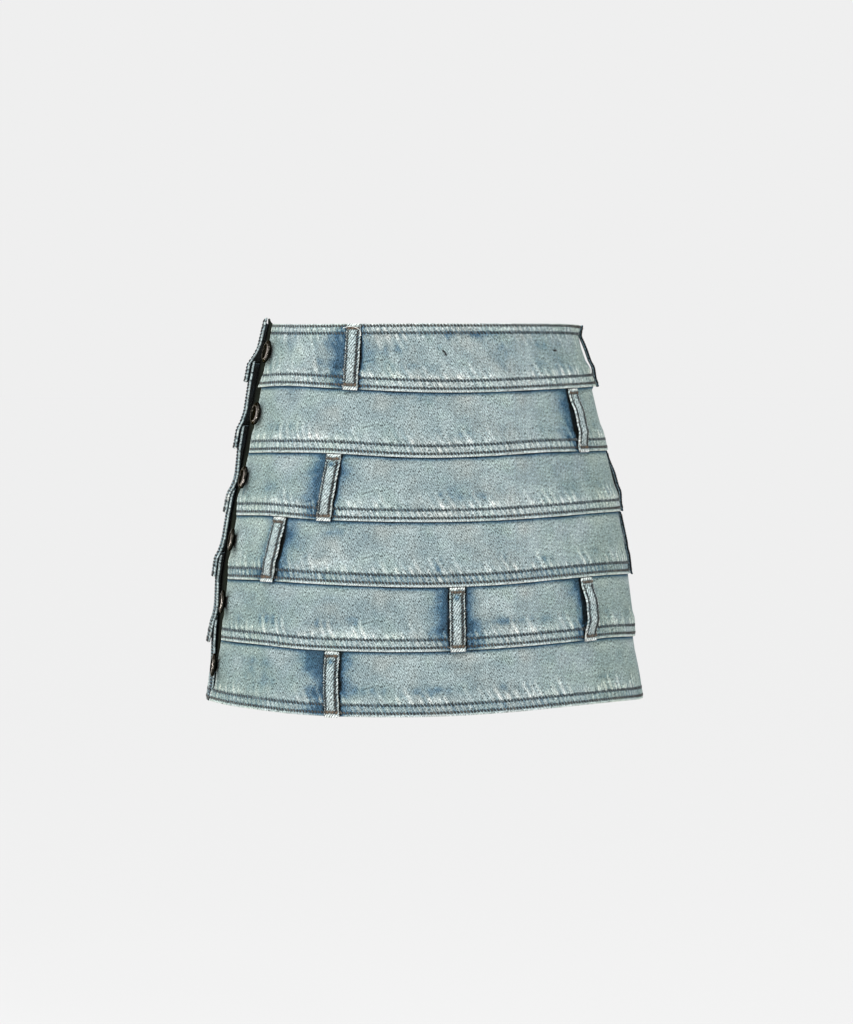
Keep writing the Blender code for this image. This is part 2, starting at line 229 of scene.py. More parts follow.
BACK_EDGE = 282.0
BACK_LIFT = (
    # at_seam, at_middle, above_hem, at_hem
    (1.6, 1.2, 5.6, 5.8),
    (4.4, 2.6, 4.8, 5.2),
    (3.6, -0.4, 2.2, 2.6),
    (2.2, 1.4, 4.0, 4.2),
    (3.2, 0.9, 2.2, 4.6),
    (2.2, -1.2, -2.0, -1.6),
)
LIFT_ROWS = (0.0, 0.45, 0.72, 1.0)
LIFT_FADE = 28.0
SIDE_SEAM = 90.0
SEAM_OVERLAP = 0.12  # how far front and back run into each other there, so that no light shows
SIDE_HOLLOW = (
    # level, how_far_in
    (0.0, 0.0), (0.18, 4.6), (0.36, 4.9), (0.58, 3.9), (0.70, 2.8), (1.0, 0.0),
    (1.06, 2.2), (1.45, 2.1), (1.8, 1.0), (2.0, 0.0), (3.5, 0.0), (3.7, 0.9),
    (3.95, 0.9), (4.02, 0.0), (5.2, 0.0), (5.5, -1.0), (6.0, -1.4),
)
HOLLOW_SPREAD = 45.0
print(TIERS, "tiers,", -CENTRE_HEIGHTS[-1], "mm long at centre front")

# %% [markdown]
# ## Easing from one number to the next
#
# Cloth bends softly, so almost nothing here goes in steps. Four helpers do all of the easing: a straight
# share between two numbers, a soft step, a bell, and a curve through a table's values.

# %% Four helpers for soft changes
def between(low, high, share):
    return low + (high - low) * share


def smooth(share):
    """The ease 3s^2 - 2s^3, held at 0 below s = 0 and at 1 above s = 1."""
    share = np.clip(share, 0.0, 1.0)
    return share * share * (3.0 - 2.0 * share)


def hill(distance, width):
    """The bell exp(-(distance / width)^2): 1 in the middle, 0.37 one width away."""
    return np.exp(-((distance / width) ** 2))


def curve_through(places, values, at):
    """A cubic through the values, each slope that of the line from the value before to the one after."""
    places, values = np.array(places), np.array(values)
    at = np.clip(at, places[0], places[-1])
    steps = np.diff(values) / np.diff(places)
    inner = (values[2:] - values[:-2]) / (places[2:] - places[:-2])
    slopes = np.concatenate([steps[:1], inner, steps[-1:]])
    i = np.clip(np.searchsorted(places, at, side="right") - 1, 0, len(places) - 2)
    span = places[i + 1] - places[i]
    share = (at - places[i]) / span
    square, cube = share**2, share**3
    ends = values[i] * (2 * cube - 3 * square + 1) + values[i + 1] * (3 * square - 2 * cube)
    return ends + span * (slopes[i] * (cube - 2 * square + share) + slopes[i + 1] * (cube - square))


print("a curve through 0, 1 and 0, halfway to the 1:", curve_through((0, 1, 2), (0, 1, 0), 0.5))

# %% [markdown]
# ## From a level and an angle to a point
#
# A garment on a body is a stack of rings. Each ring here is two half ellipses, deeper at the back than at
# the front, and its width, depths and height are read from the tables. As numpy arrays go in and come
# out, one call places a whole tier.

# %% Points on the tiers
def height_at(level, angle):
    """The height of the ring above plus the level's fraction of the drop to the ring below."""
    level, angle = np.broadcast_arrays(level, angle)
    rings = np.stack([curve_through(HEIGHT_ANGLES, row, angle) for row in HEIGHTS])
    ring = np.clip(np.floor(level), 0, TIERS - 1).astype(int)
    upper = np.take_along_axis(rings, ring[None], 0)[0]
    lower = np.take_along_axis(rings, ring[None] + 1, 0)[0]
    return between(upper, lower, level - ring)


def half_sizes(tier, level):
    """Half width, front and back depth: straight from ring to ring, plus the ridge over the layer behind."""
    row = level - (tier - 1)
    inset = STEP if tier > 1 else 0.0
    rise = smooth((row - RIDGE_START) / (RIDGE_FULL - RIDGE_START))
    fall = smooth((row - RIDGE_FULL) / (1.0 - RIDGE_FULL))
    ridge = RIDGE * rise * (1.0 - fall) if tier < TIERS else 0.0
    pairs = zip(RINGS[tier - 1] - inset, RINGS[tier])
    shown = np.stack([between(upper, lower, row) + ridge for upper, lower in pairs])
    if tier == 1:
        return shown
    return np.where(row < 0, half_sizes(tier - 1, level) - STEP, shown)


def side_hollow(level, angle):
    """How far the side hollows in: the table's depth times an ease over 45 degrees each way."""
    return np.interp(level, *zip(*SIDE_HOLLOW)) * smooth(1.0 - abs(angle - SIDE_SEAM) / HOLLOW_SPREAD)


def back_lift(tier, level, angle):
    """How far a back tier's loose corner stands off: the table's lift, eased in over the last 28 degrees."""
    row = level - (tier - 1)
    lift = np.interp(row, LIFT_ROWS, BACK_LIFT[tier - 1])
    if tier > 1:
        above = np.interp(row + 1, LIFT_ROWS, BACK_LIFT[tier - 2])
        lift = np.where(row < 0, np.minimum(lift, above), lift)
    return lift * smooth((angle - BACK_EDGE + LIFT_FADE) / LIFT_FADE) * (angle > SIDE_SEAM)


def on_ring(sizes, angle, height):
    """(width sin, -depth cos, height) of an angle, with the front's depth where the cosine is above 0."""
    width, front, back = sizes
    turn = np.radians(angle)
    depth = np.where(np.cos(turn) > 0, front, back)
    return np.stack([width * np.sin(turn), -depth * np.cos(turn), height], -1)


def tier_point(tier, level, angle, out=0.0):
    """The point in mm of a tier's outer face at a level and angle, moved out by some millimetres."""
    level, angle, out = np.broadcast_arrays(level, angle, out)
    moved = back_lift(tier, level, angle) + out - side_hollow(level, angle)
    return on_ring(half_sizes(tier, level) + moved, angle, height_at(level, angle))


def distances(points):
    """How far along a line each of its points is, summed from the chords between them."""
    return np.concatenate([[0.0], np.cumsum(np.linalg.norm(np.diff(points, axis=0), axis=1))])


def unit(vectors):
    return vectors / np.linalg.norm(vectors, axis=-1, keepdims=True)


def cloth_axes(tier, level, angle):
    """Unit directions along the tier, up it and out of it, from points half a degree and 0.01 level away."""
    along = unit(tier_point(tier, level, angle + 0.5) - tier_point(tier, level, angle - 0.5))
    up = unit(tier_point(tier, level - 0.01, angle) - tier_point(tier, level + 0.01, angle))
    return along, up, unit(np.cross(along, up))


def slanted(one, other, turn):
    """A direction between two that are square to each other: one x cos + other x sin of the turn."""
    return one * np.cos(turn) + other * np.sin(turn)


print("the hem at centre front is at", tier_point(6, 6.0, 0.0).round(1), "mm")

# %% [markdown]
# ## Millimetres on the cloth
#
# A machinist measures along the cloth: so far from centre front, so far above the lower edge. We call
# these run and rise. Run is the length of a ring summed from many short chords, kept as a table that
# reads both ways.

# %% Run and rise
MEASURED_ANGLES = np.arange(-90.0, 290.0, 0.25)
RUNS = []
for tier in range(1, TIERS + 1):
    length = distances(tier_point(tier, tier - 0.5, MEASURED_ANGLES))
    RUNS.append(length - np.interp(0.0, MEASURED_ANGLES, length))


def run_of(tier, angle):
    """Millimetres along the tier's middle from centre front to an angle."""
    return np.interp(angle, MEASURED_ANGLES, RUNS[tier - 1])


def angle_of(tier, run):
    return np.interp(run, RUNS[tier - 1], MEASURED_ANGLES)


def shown_height(tier, angle):
    """The height from the ring above a tier to its lower edge, at an angle."""
    return height_at(float(tier - 1), angle) - height_at(float(tier), angle)


def hidden_height(tier, angle):
    """How far a tier runs up behind the one above."""
    if tier == 1:
        return np.zeros_like(angle)
    lap = LAP / (CENTRE_HEIGHTS[tier - 2] - CENTRE_HEIGHTS[tier - 1])
    return lap * shown_height(tier - 1, angle)


def level_of(tier, rise, angle):
    """tier - rise / height where the cloth shows, and on into the tier above where it is hidden."""
    height = shown_height(tier, angle)
    shown = tier - rise / height
    if tier == 1:
        return shown
    return np.where(rise > height, tier - 1 - (rise - height) / shown_height(tier - 1, angle), shown)


def on_cloth(tier, rise, angle, out):
    """The point at a rise and an angle, moved out by some millimetres, and the cloth's directions there."""
    level = level_of(tier, rise, angle)
    return tier_point(tier, level, angle, out), *cloth_axes(tier, level, angle)


for tier in range(1, TIERS + 1):
    print("tier", tier, "front", round(run_of(tier, SIDE_SEAM) - run_of(tier, -70.0)), "mm of cloth")

# %% [markdown]
# ## Numbers that wander
#
# Handmade things are uneven, but a random number at each point would look like grit. So random numbers
# are laid out on a line or a lattice, and what lies between is eased from each to the next. A seed keeps
# them the same.

# %% Smooth random numbers
ALONG, ACROSS = 1024, 256  # how many numbers a line and a side of a lattice have before they repeat


def ripple(along, step, seed):
    """-1 to 1 along a line: one random number every step, eased from each to the next by 3s^2 - 2s^3."""
    numbers = np.random.default_rng(seed).uniform(-1.0, 1.0, ALONG)
    place = np.asarray(along) / step + 300.0
    left = np.floor(place).astype(int)
    return between(numbers[left % ALONG], numbers[(left + 1) % ALONG], smooth(place - left))


def cloud(across, up, size, seed):
    """-1 to 1 over a surface: random numbers on a square lattice, eased both ways."""
    numbers = np.random.default_rng(seed).uniform(-1.0, 1.0, (ACROSS, ACROSS))
    x, y = across / size + 100.0, up / size + 100.0
    i, j = np.floor(x).astype(int), np.floor(y).astype(int)
    pairs = ([numbers[(i + right) % ACROSS, (j + above) % ACROSS] for right in (0, 1)] for above in (0, 1))
    low, high = (between(*pair, smooth(x - i)) for pair in pairs)
    return between(low, high, smooth(y - j))


def ridges(line, period, seed):
    """Rounded ridges side by side: sin^2 across each, with a random strength from 0 to 1 for each ridge."""
    place = line / period + 0.45 * ripple(line, 2.3 * period, seed) + 300.0
    ridge = np.floor(place).astype(int)
    numbers = np.random.default_rng(seed + 1).uniform(0.0, 1.0, ALONG)
    return np.sin(math.pi * (place - ridge)) ** 2, numbers[ridge % ALONG]


print("a ripple:", ripple(np.arange(0.0, 50.0, 10.0), 20.0, 1).round(2))

# %% [markdown]
# ## Gathers beside the stitching
#
# Thread pulled tight shrinks less in the wash than denim does, so the cloth beside it draws up into short
# slanting ridges. The stone wash then rubs the ridges white and leaves indigo in the troughs and in the
# needle line. One function gives both the form and the wear, so that they always agree.

# %% The sewn band at an edge
HEM_ROWS = (3.2, 9.6)  # the two rows of stitches above each lower edge
WAIST_ROWS = (1.8, 7.6)  # and below the waist
GATHER = (0.95, 0.8, 1.0, 1.2, 1.15, 1.3)  # how drawn up each tier is
RUBBED = (
    # dye between the rows, dye just beyond them: more is bluer
    (-0.12, -0.22), (-0.09, -0.16), (-0.12, -0.17), (0.04, -0.08), (-0.07, -0.10), (0.02, -0.07),
)
PUFF_STEP, STREAK_STEP, MINOR_STEP = 4.6, 6.8, 3.9  # mm from ridge to ridge


def sewn_band(run, away, rows, seed, lean, strength, rubbed):
    """Relief in mm and dye beside an edge sewn with two rows.

    Between the rows: puffs. Beyond the far row: streaks, which are narrow ridges, the fourth power of a
    sine, each reaching 4 to 19 mm, and minor ones between. All lean by run + lean x away. Each row is a
    groove, a bell of 1.3 or 1.5 mm, and the fold is rubbed pale.
    """
    near, far = rows
    line = run + lean * away
    inside = smooth((away - near) / 1.2) * smooth((far - away) / 1.2)
    puff, puff_strength = ridges(line, PUFF_STEP, seed)
    streak, reach = ridges(line + 0.25 * lean * away, STREAK_STEP, seed + 10)
    minor, minor_reach = ridges(line + 0.1 * lean * away, MINOR_STEP, seed + 50)
    beyond = smooth((away - far) / 0.9) * smooth((far + 4.0 + 15.0 * reach - away) / 7.0)
    close = smooth((away - far) / 0.9) * smooth((far + 3.0 + 5.0 * minor_reach - away) / 3.0)
    patchy = smooth(0.8 + 0.5 * ripple(run, 38.0, seed + 20)) * strength
    groove = hill(away - near, 1.3) + hill(away - far, 1.5)
    relief = 0.2 * (puff - 0.5) * inside + 0.45 * (streak**2 - 0.3) * beyond * patchy - 0.32 * groove
    relief = relief + 0.15 * inside + 0.12 * (minor - 0.5) * close * patchy
    dye = 0.18 * groove - 0.32 * hill(away - 0.2, 1.5)
    dye = dye + inside * (rubbed[0] - 0.46 * (0.4 + 0.6 * puff_strength) * (puff - 0.45))
    dye = dye - (0.33 * streak**2 * (0.5 + 0.5 * reach) - 0.055) * beyond * patchy
    dye = dye + (rubbed[1] - 0.4 * (minor**2 * (0.3 + 0.7 * minor_reach) - 0.22)) * close * patchy
    left_blue = np.clip(0.3 + ripple(run, 17.0, seed + 30), 0.0, 1.0)
    left_blue = left_blue * (0.6 + 0.9 * cloud(run, away, 3.4, 61))
    blue_at = far + 11.5 + 3.0 * ripple(run, 26.0, seed + 40)
    return relief, dye + 0.14 * left_blue * patchy * hill(away - blue_at, 3.4)


test_relief = sewn_band(np.linspace(0, 90, 400), np.full(400, 12.0), HEM_ROWS, 3, 0.4, 1.0, RUBBED[0])[0]
print("gathers from", test_relief.min().round(2), "to", test_relief.max().round(2), "mm")

# %% [markdown]
# ## Creases and faded places
#
# Worn cloth has a few soft creases that no sewing explains, and a stone wash leaves lighter and bluer
# places. They are listed one by one, as a finisher would mark them with chalk: how far from centre front,
# how far above the lower edge, their half sizes, and how strong. A crease also has a lean.

# %% Chalk marks on the tiers
CREASES = (
    # tier, run, rise, half_length, half_width, depth, lean
    (1, -25.0, 26.0, 17.0, 5.0, 0.55, 0.6), (1, -98.0, 24.0, 12.0, 4.5, 0.4, 0.5),
    (1, 14.0, 24.0, 10.0, 4.0, 0.35, 0.7), (1, 62.0, 26.0, 14.0, 5.0, -0.4, 0.5),
    (1, 118.0, 25.0, 13.0, 4.5, 0.35, 0.1), (2, -60.0, 28.0, 16.0, 6.0, 0.45, 0.4),
    (2, 30.0, 30.0, 15.0, 6.0, -0.4, 0.6), (2, 84.0, 28.0, 12.0, 5.0, 0.4, 0.5),
    (3, -42.0, 30.0, 14.0, 6.0, 0.4, 0.5), (3, 24.0, 28.0, 15.0, 7.0, -0.45, 0.5),
    (3, 110.0, 28.0, 14.0, 5.0, 0.45, 0.3), (4, -70.0, 28.0, 16.0, 6.0, 0.5, 0.4),
    (4, 12.0, 30.0, 12.0, 6.0, -0.4, 0.6), (4, 96.0, 30.0, 15.0, 6.0, 0.45, 0.4),
    (5, -96.0, 30.0, 14.0, 6.0, 0.45, 0.4), (5, -20.0, 28.0, 13.0, 6.0, -0.4, 0.6),
    (5, 70.0, 28.0, 13.0, 6.0, 0.5, 0.5), (6, -60.0, 30.0, 15.0, 6.0, 0.45, 0.4),
    (6, 40.0, 30.0, 16.0, 7.0, -0.45, 0.5), (6, 108.0, 28.0, 14.0, 6.0, 0.5, 0.3),
    (1, 230.0, 26.0, 14.0, 5.0, 0.45, 0.3), (1, 300.0, 24.0, 12.0, 5.0, -0.4, -0.4),
    (1, 392.0, 25.0, 14.0, 5.0, 0.5, -0.5), (2, 270.0, 28.0, 15.0, 6.0, 0.45, 0.4),
    (2, 345.0, 28.0, 12.0, 5.0, 0.4, -0.4), (2, 470.0, 28.0, 14.0, 5.0, 0.45, -0.4),
    (3, 240.0, 30.0, 15.0, 6.0, -0.45, 0.4), (3, 410.0, 28.0, 14.0, 6.0, 0.5, -0.4),
    (4, 262.0, 28.0, 13.0, 6.0, 0.45, 0.3), (4, 388.0, 30.0, 15.0, 6.0, -0.4, -0.4),
    (4, 480.0, 28.0, 14.0, 6.0, 0.5, -0.5), (5, 280.0, 28.0, 14.0, 6.0, 0.45, 0.4),
    (5, 450.0, 30.0, 15.0, 6.0, 0.5, -0.4), (6, 260.0, 28.0, 14.0, 6.0, -0.45, 0.4),
    (6, 430.0, 28.0, 15.0, 6.0, 0.5, -0.4),
)
FADES = (
    # tier, mm_across_the_front, rise, half_width, half_height, dye: more is bluer, less is whiter
    (1, -28.0, 32.0, 9.0, 6.0, 0.13), (1, 32.0, 47.0, 34.0, 3.5, 0.15), (1, 46.0, 46.0, 4.0, 4.0, 0.16),
    (1, 69.0, 33.0, 10.0, 7.0, 0.12), (1, -112.0, 36.0, 8.0, 8.0, 0.08), (1, -104.0, 31.0, 7.0, 7.0, -0.12),
    (1, 112.0, 24.0, 18.0, 14.0, 0.09), (1, -20.0, 28.0, 24.0, 14.0, 0.04),
    (3, -124.0, 27.0, 24.0, 16.0, 0.045), (5, -42.0, 30.0, 32.0, 13.0, 0.045),
    (5, -130.0, 26.0, 26.0, 16.0, 0.06), (3, 119.0, 28.0, 28.0, 16.0, 0.06),
    (4, 111.0, 30.0, 26.0, 14.0, -0.06), (6, -134.0, 30.0, 34.0, 17.0, 0.10),
    (2, -115.0, 47.0, 12.0, 6.0, 0.12), (2, 0.0, 47.0, 18.0, 4.0, 0.12), (2, -82.0, 12.0, 16.0, 4.0, -0.12),
    (3, -50.0, 15.0, 18.0, 4.0, -0.10), (3, 22.0, 26.0, 10.0, 6.0, 0.07), (3, 60.0, 14.0, 30.0, 5.0, -0.07),
    (4, -72.0, 44.0, 20.0, 7.0, 0.15), (4, -104.0, 28.0, 8.0, 9.0, 0.10), (4, 12.0, 15.0, 3.0, 5.0, 0.16),
    (4, -80.0, 18.0, 22.0, 5.0, -0.10), (4, 70.0, 50.0, 10.0, 3.5, 0.08), (5, 70.0, 22.0, 28.0, 3.6, 0.17),
    (5, 82.0, 14.5, 34.0, 3.8, -0.10), (5, -62.0, 15.0, 32.0, 5.0, -0.13),
    (5, -66.0, 24.0, 20.0, 4.0, 0.12), (5, 14.0, 30.0, 12.0, 14.0, 0.07), (5, 60.0, 34.0, 12.0, 6.0, -0.07),
    (6, -86.0, 46.0, 20.0, 6.0, 0.13), (6, -89.0, 19.0, 7.0, 6.0, 0.22), (6, -48.0, 22.0, 20.0, 5.0, 0.13),
    (6, 14.0, 22.0, 26.0, 4.5, 0.14), (6, 46.0, 50.0, 16.0, 5.0, -0.08),
)


def crease_relief(tier, run, rise):
    """The sum of leaning bells, each depth x exp(-(up / half_length)^2 - (across / half_width)^2)."""
    relief = np.zeros_like(run)
    for of_tier, at_run, at_rise, half_length, half_width, depth, lean in CREASES:
        if of_tier == tier:
            up = rise - at_rise
            relief = relief + depth * hill(up, half_length) * hill(run - at_run + lean * up, half_width)
    return relief


def fades(tier, run, rise):
    """The dye that the marks add: a bell both ways, broken up by clouds of 7 and 2.6 mm."""
    dye = np.zeros_like(run)
    for of_tier, across, at_rise, half_width, half_height, more in FADES:
        if of_tier == tier:
            width = between(RINGS[tier - 1][0], RINGS[tier][0], 0.5)
            at_run = run_of(tier, math.degrees(math.asin(across / width)))
            near = hill(run - at_run, half_width) * hill(rise - at_rise, half_height)
            broken = 1.0 + 0.5 * cloud(run, rise, 7.0, 77) + 0.6 * cloud(run, rise, 2.6, 78)
            dye = dye + more * near * broken
    return dye


print(len(CREASES), "creases and", len(FADES), "faded places")

# %% [markdown]
# ## Belt loops: where they lie
#
# Each loop is a narrow folded strip, sewn down at its two ends and standing a little off the cloth
# between them. While the skirt tumbled in the wash, each loop shaded the cloth beside it, and that cloth
# stayed dark blue.

# %% Where the belt loops lie
LOOP_WIDTH = 12.2
LOOP_SEAT = 0.3  # room for the gathers between the loop and its tier
LOOP_OVERHANG = 0.8  # mm past the tier's lower edge
LOOP_SEWN = 0.10  # the share of its length sewn flat at each end
DEEPEST = 0.39  # the most dye that a loop's shade keeps
LOOPS = (
    # name, tier, at_top, at_bottom, bow, sway, shade_left, shade_right
    ("loop_1_front", 1, -24.8, -23.7, 1.6, 1.0, 1.9, 0.6),
    ("loop_1_left", 1, 91.5, 92.0, 2.5, 0.0, 0.6, 0.6),
    ("loop_1_back", 1, 139.0, 140.5, 1.8, 0.6, 0.8, 0.7),
    ("loop_1_back_right", 1, 214.0, 213.0, 1.8, -0.8, 0.6, 0.9),
    ("loop_2_left", 2, 58.6, 57.7, 2.8, 0.3, 1.2, 0.4),
    ("loop_2_back", 2, 172.0, 171.0, 1.7, 0.5, 0.9, 0.6),
    ("loop_2_right", 2, 243.0, 244.5, 2.1, -0.4, 0.7, 0.9),
    ("loop_3_front", 3, -27.7, -28.7, 1.6, 0.3, 1.25, 0.8),
    ("loop_3_left", 3, 97.0, 92.5, 1.7, 0.0, 0.6, 0.6),
    ("loop_3_back", 3, 196.0, 197.5, 1.8, 0.7, 0.9, 0.7),
    ("loop_4_right", 4, -44.9, -46.6, 1.8, 1.2, 0.8, 1.0),
    ("loop_4_left", 4, 90.5, 87.5, 0.2, 0.0, 0.6, 0.6),
    ("loop_4_back", 4, 152.0, 151.0, 1.7, 0.5, 0.8, 1.0),
    ("loop_5_front", 5, 9.2, 9.05, 1.5, -0.5, 1.2, 1.8),
    ("loop_5_left", 5, 50.3, 49.4, 3.3, 1.5, 1.2, 0.3),
    ("loop_5_back", 5, 222.0, 221.0, 1.9, -0.6, 1.0, 0.7),
    ("loop_6_front", 6, -24.3, -23.3, 1.6, -0.3, 1.9, 1.0),
    ("loop_6_back", 6, 127.0, 128.0, 1.8, 0.4, 0.8, 0.8),
    ("loop_6_back_right", 6, 184.0, 183.0, 1.6, -0.5, 0.9, 0.8),
)


def loop_line(loop, share):
    """Level, middle angle, stand-off and mm in one degree of a loop, at a share of its length from its top.

    The stand-off is the loop's own thickness and seat, plus a bow eased up from both sewn ends. The middle
    sways by sway x sin(pi x share).
    """
    tier, at_top, at_bottom, bow, sway = loop[1:6]
    drop = CENTRE_HEIGHTS[tier - 1] - CENTRE_HEIGHTS[tier]
    start = tier - 1 + (2 * LOOP_SEAT / drop if tier > 1 else 0.0)
    level = between(start, tier + LOOP_OVERHANG / drop, share)
    middle = between(at_top, at_bottom, share)
    off = smooth((share - LOOP_SEWN) / 0.3) * smooth((1.0 - LOOP_SEWN - share) / 0.3)
    chord = tier_point(tier, level, middle + 0.5) - tier_point(tier, level, middle - 0.5)
    one_degree = np.linalg.norm(chord, axis=-1)
    middle = middle + sway * np.sin(math.pi * share) / one_degree
    return level, middle, LOOP_SEAT + WALL + bow * off, one_degree


def loop_shade(tier, run, rise, height):
    """The blue left beside each loop: exp(-(distance / reach)^1.7) on each side, with a wandering reach.

    A cloud of 3 mm breaks it up. The second result is painted shadow: a thin dark line beside the loop.
    """
    dye, lines = np.zeros_like(run), np.zeros_like(run)
    for number, loop in enumerate(LOOPS):
        if loop[1] != tier:
            continue
        share = np.clip(1.0 - rise / height, 0.0, 1.0)
        middle = between(loop[2], loop[3], share)
        away = run - run_of(tier, middle) - loop[5] * np.sin(math.pi * share)
        for side, strength in ((-1.0, loop[6]), (1.0, loop[7])):
            beside = np.clip(side * away - LOOP_WIDTH / 2, 0.0, None)
            wander = ripple(rise, 13.0, 500 + 10 * number + int(side))
            reach = (8.5 + 3.5 * wander) * (0.6 + 0.4 * strength)
            close = np.exp(-((beside / reach) ** 1.7)) * (side * away > 0)
            broken = 1.0 + 0.4 * cloud(run, rise, 3.0, 79)
            blue = np.minimum(strength * (0.34 + 0.10 * wander) * close * broken, DEEPEST)
            # Painted shadow: a thin dark line at the loop's edge, stronger on its right.
            line = (0.5 if side > 0 else 0.3) * hill(beside, 1.5) * (side * away > 0)
            below_lap = smooth((height + 2.0 - rise) / 5.0)
            dye, lines = dye + blue * below_lap, lines + line * below_lap
    return dye, lines


print(len(LOOPS), "loops,", LOOP_WIDTH, "mm wide")

# %% [markdown]
# ## The tiers' relief and dye
#
# Everything above now adds up to two numbers for each point of a tier: how far it stands out, and how
# blue it is from 0, bone white, to 1, unwashed indigo. Just under the tier above, where no stone could
# rub, the cloth stays blue for a few millimetres, and darker still with a painted shadow of the hem above.

# %% Adding up a tier
BLUEST = 0.83  # what wash and rubbing leave at most, apart from the thin painted shadow lines beside the loops


def tier_form(tier, run, rise, angle):
    """Relief in mm: the hem's band, the waist's band on the top tier, and the creases clear of both."""
    height = shown_height(tier, angle)
    lean = 0.45 * np.clip(np.cos(np.radians(angle)), -0.6, 1.0)
    relief, dye = sewn_band(run, rise, HEM_ROWS, 100 * tier, lean, GATHER[tier - 1], RUBBED[tier - 1])
    if tier == 1:
        waist = sewn_band(run, height - rise, WAIST_ROWS, 900, -lean, 0.7, (-0.1, -0.05))
        relief, dye = relief + waist[0], dye + waist[1]
    clear = smooth((rise - 11.0) / 8.0) * smooth((height - 5.0 - rise) / 8.0)
    crease = crease_relief(tier, run, rise) * clear
    relief = (relief + crease) * smooth((height + 1.0 - rise) / 2.5 if tier > 1 else 1.0)
    return relief, dye - 0.10 * crease


def tier_dye(tier, run, rise, angle, edge):
    """0 for white to 1 for indigo. Edge is the distance in mm to the nearest free end."""
    height = shown_height(tier, angle)
    dye = 0.45 + tier_form(tier, run, rise, angle)[1]
    shade, lines = loop_shade(tier, run, rise, height)
    if tier > 1:
        under = abs(height - rise)
        uneven = 1.0 + 0.45 * ripple(run, 24.0, 40 + tier)
        at_end = hill(edge, 6.0) * (angle > 180.0)
        bare = (1.0 - at_end) * (1.0 - 0.7 * np.clip(shade / DEEPEST, 0.0, 1.0))
        # Under the hem above: unrubbed indigo, and a painted shadow of the hem, darkest in the first
        # millimetres.
        dye = dye + 0.47 * hill(under, 1.7 + 0.3 * uneven) * bare - 0.04 * hill(under - 6.0, 3.0)
        dye = dye + 0.12 * np.clip(uneven - 1.05, 0.0, 1.0) * hill(under, 5.0)
    # The painted shadow lines beside the loops are added past that most.
    dye = np.minimum(dye + shade + fades(tier, run, rise), np.maximum(dye, BLUEST)) + lines
    dye = dye + 0.03 * cloud(run, rise, 21.0, 60 + tier) + 0.035 * cloud(run, 1.6 * rise, 9.0, 70 + tier)
    dye = dye + (0.05 * cloud(run + 0.5 * rise, 0.6 * rise, 5.5, 69) if tier == 1 else 0.0)
    dye = dye - 0.20 * hill(edge, 1.5) + 0.5 * hill(run - run_of(tier, SIDE_SEAM), 0.9)
    return np.clip(dye, 0.0, 1.0)


sample = tier_dye(5, np.linspace(-50, 50, 201), np.full(201, 30.0), np.linspace(-16, 16, 201), 99.0)
print("dye across tier 5 from", sample.min().round(2), "to", sample.max().round(2))

# %% [markdown]
# ## A folded strip as one closed surface
#
# Every strip of this skirt is a band with folded edges all round, so its mesh is a flattened tube: we go
# up the outer face, over the top fold and down the inner face, at each step along the band. The tube
# narrows to a line at both ends with the same roundness. Solidify would give square edges, and a bevel on
# each would cost more points than the cloth. A vertex attribute carries the dye.

# %% The cross-section of a strip
FOLD_ANGLES = np.radians((90.0, 60.0, 30.0))


def wall_section(low_rows, high_rows, middle_rows=2):
    """Half a section, from the lower fold to the upper one, as share of height, offset in mm, and side.

    Low rows are heights above the lower fold, high rows are depths below the upper one, and a few rows
    share out what lies between. Side is 1 on the outer face and 0 at a fold. At an angle a round a fold the
    offset is HALF (1 - sin a) and the side is cos a. The other half is the same with the side negative.
    """
    fold_offset, fold_side = HALF * (1.0 - np.sin(FOLD_ANGLES)), np.cos(FOLD_ANGLES)
    low, high = np.array((HALF, *low_rows)), np.array((*high_rows, HALF))
    part = np.arange(1, middle_rows + 1) / (middle_rows + 1)
    fold = np.zeros(len(fold_side))
    share = np.concatenate([fold, 0 * low, part, 0 * high + 1, fold + 1])
    offset = np.concatenate([fold_offset, low, between(low[-1], -high[0], part), -high, -fold_offset[::-1]])
    side = np.concatenate([fold_side, 0 * low + 1, 0 * part + 1, 0 * high + 1, fold_side[::-1]])
    back = slice(-2, 0, -1)
    return (
        np.concatenate([share, share[back]]),
        np.concatenate([offset, offset[back]]),
        np.concatenate([side, -side[back]]),
    )


def along_strip(length, step):
    """Distances along a strip and the thickness there: round at both ends, HALF (1 - cos a) and sin a."""
    turn = np.radians((0.0, 30.0, 60.0, 90.0))
    end, thick = HALF * (1.0 - np.cos(turn)), np.sin(turn)
    count = max(2, round((length - 2 * HALF) / step))
    middle = np.linspace(HALF, length - HALF, count + 1)[1:-1]
    distance = np.concatenate([end, middle, length - end[::-1]])
    return distance, np.concatenate([thick, np.ones(len(middle)), thick[::-1]])


print("a section has", len(wall_section((3.0, 6.0), (6.0, 3.0))[0]), "points")

# %% [markdown]
# The grid of columns and places becomes faces in whole arrays. As every strip is a closed surface, its
# volume must come out positive. If it does not, the faces look inward, and all of them are turned round
# at once. A cube shows that the sum is right.

# %% A closed mesh from a strip's grid
def set_attribute(mesh, name, kind, values):
    """Writes one value, or one colour, for each vertex."""
    layer = mesh.attributes.new(name, kind, "POINT")
    field = "color" if kind == "FLOAT_COLOR" else "value"
    layer.data.foreach_set(field, np.ravel(values).astype(np.float32))


def link_mesh(name, points, faces, finish):
    """A new object from points in mm and faces of 3 or 4 corners, shaded smooth."""
    mesh = bpy.data.meshes.new(name)
    mesh.from_pydata((points * MM).tolist(), [], faces)
    mesh.polygons.foreach_set("use_smooth", np.ones(len(mesh.polygons), dtype=bool))
    mesh.materials.append(finish)
    made = bpy.data.objects.new(name, mesh)
    bpy.context.scene.collection.objects.link(made)
    return made


def triangles(thing):
    return sum(len(face.vertices) - 2 for face in thing.data.polygons)


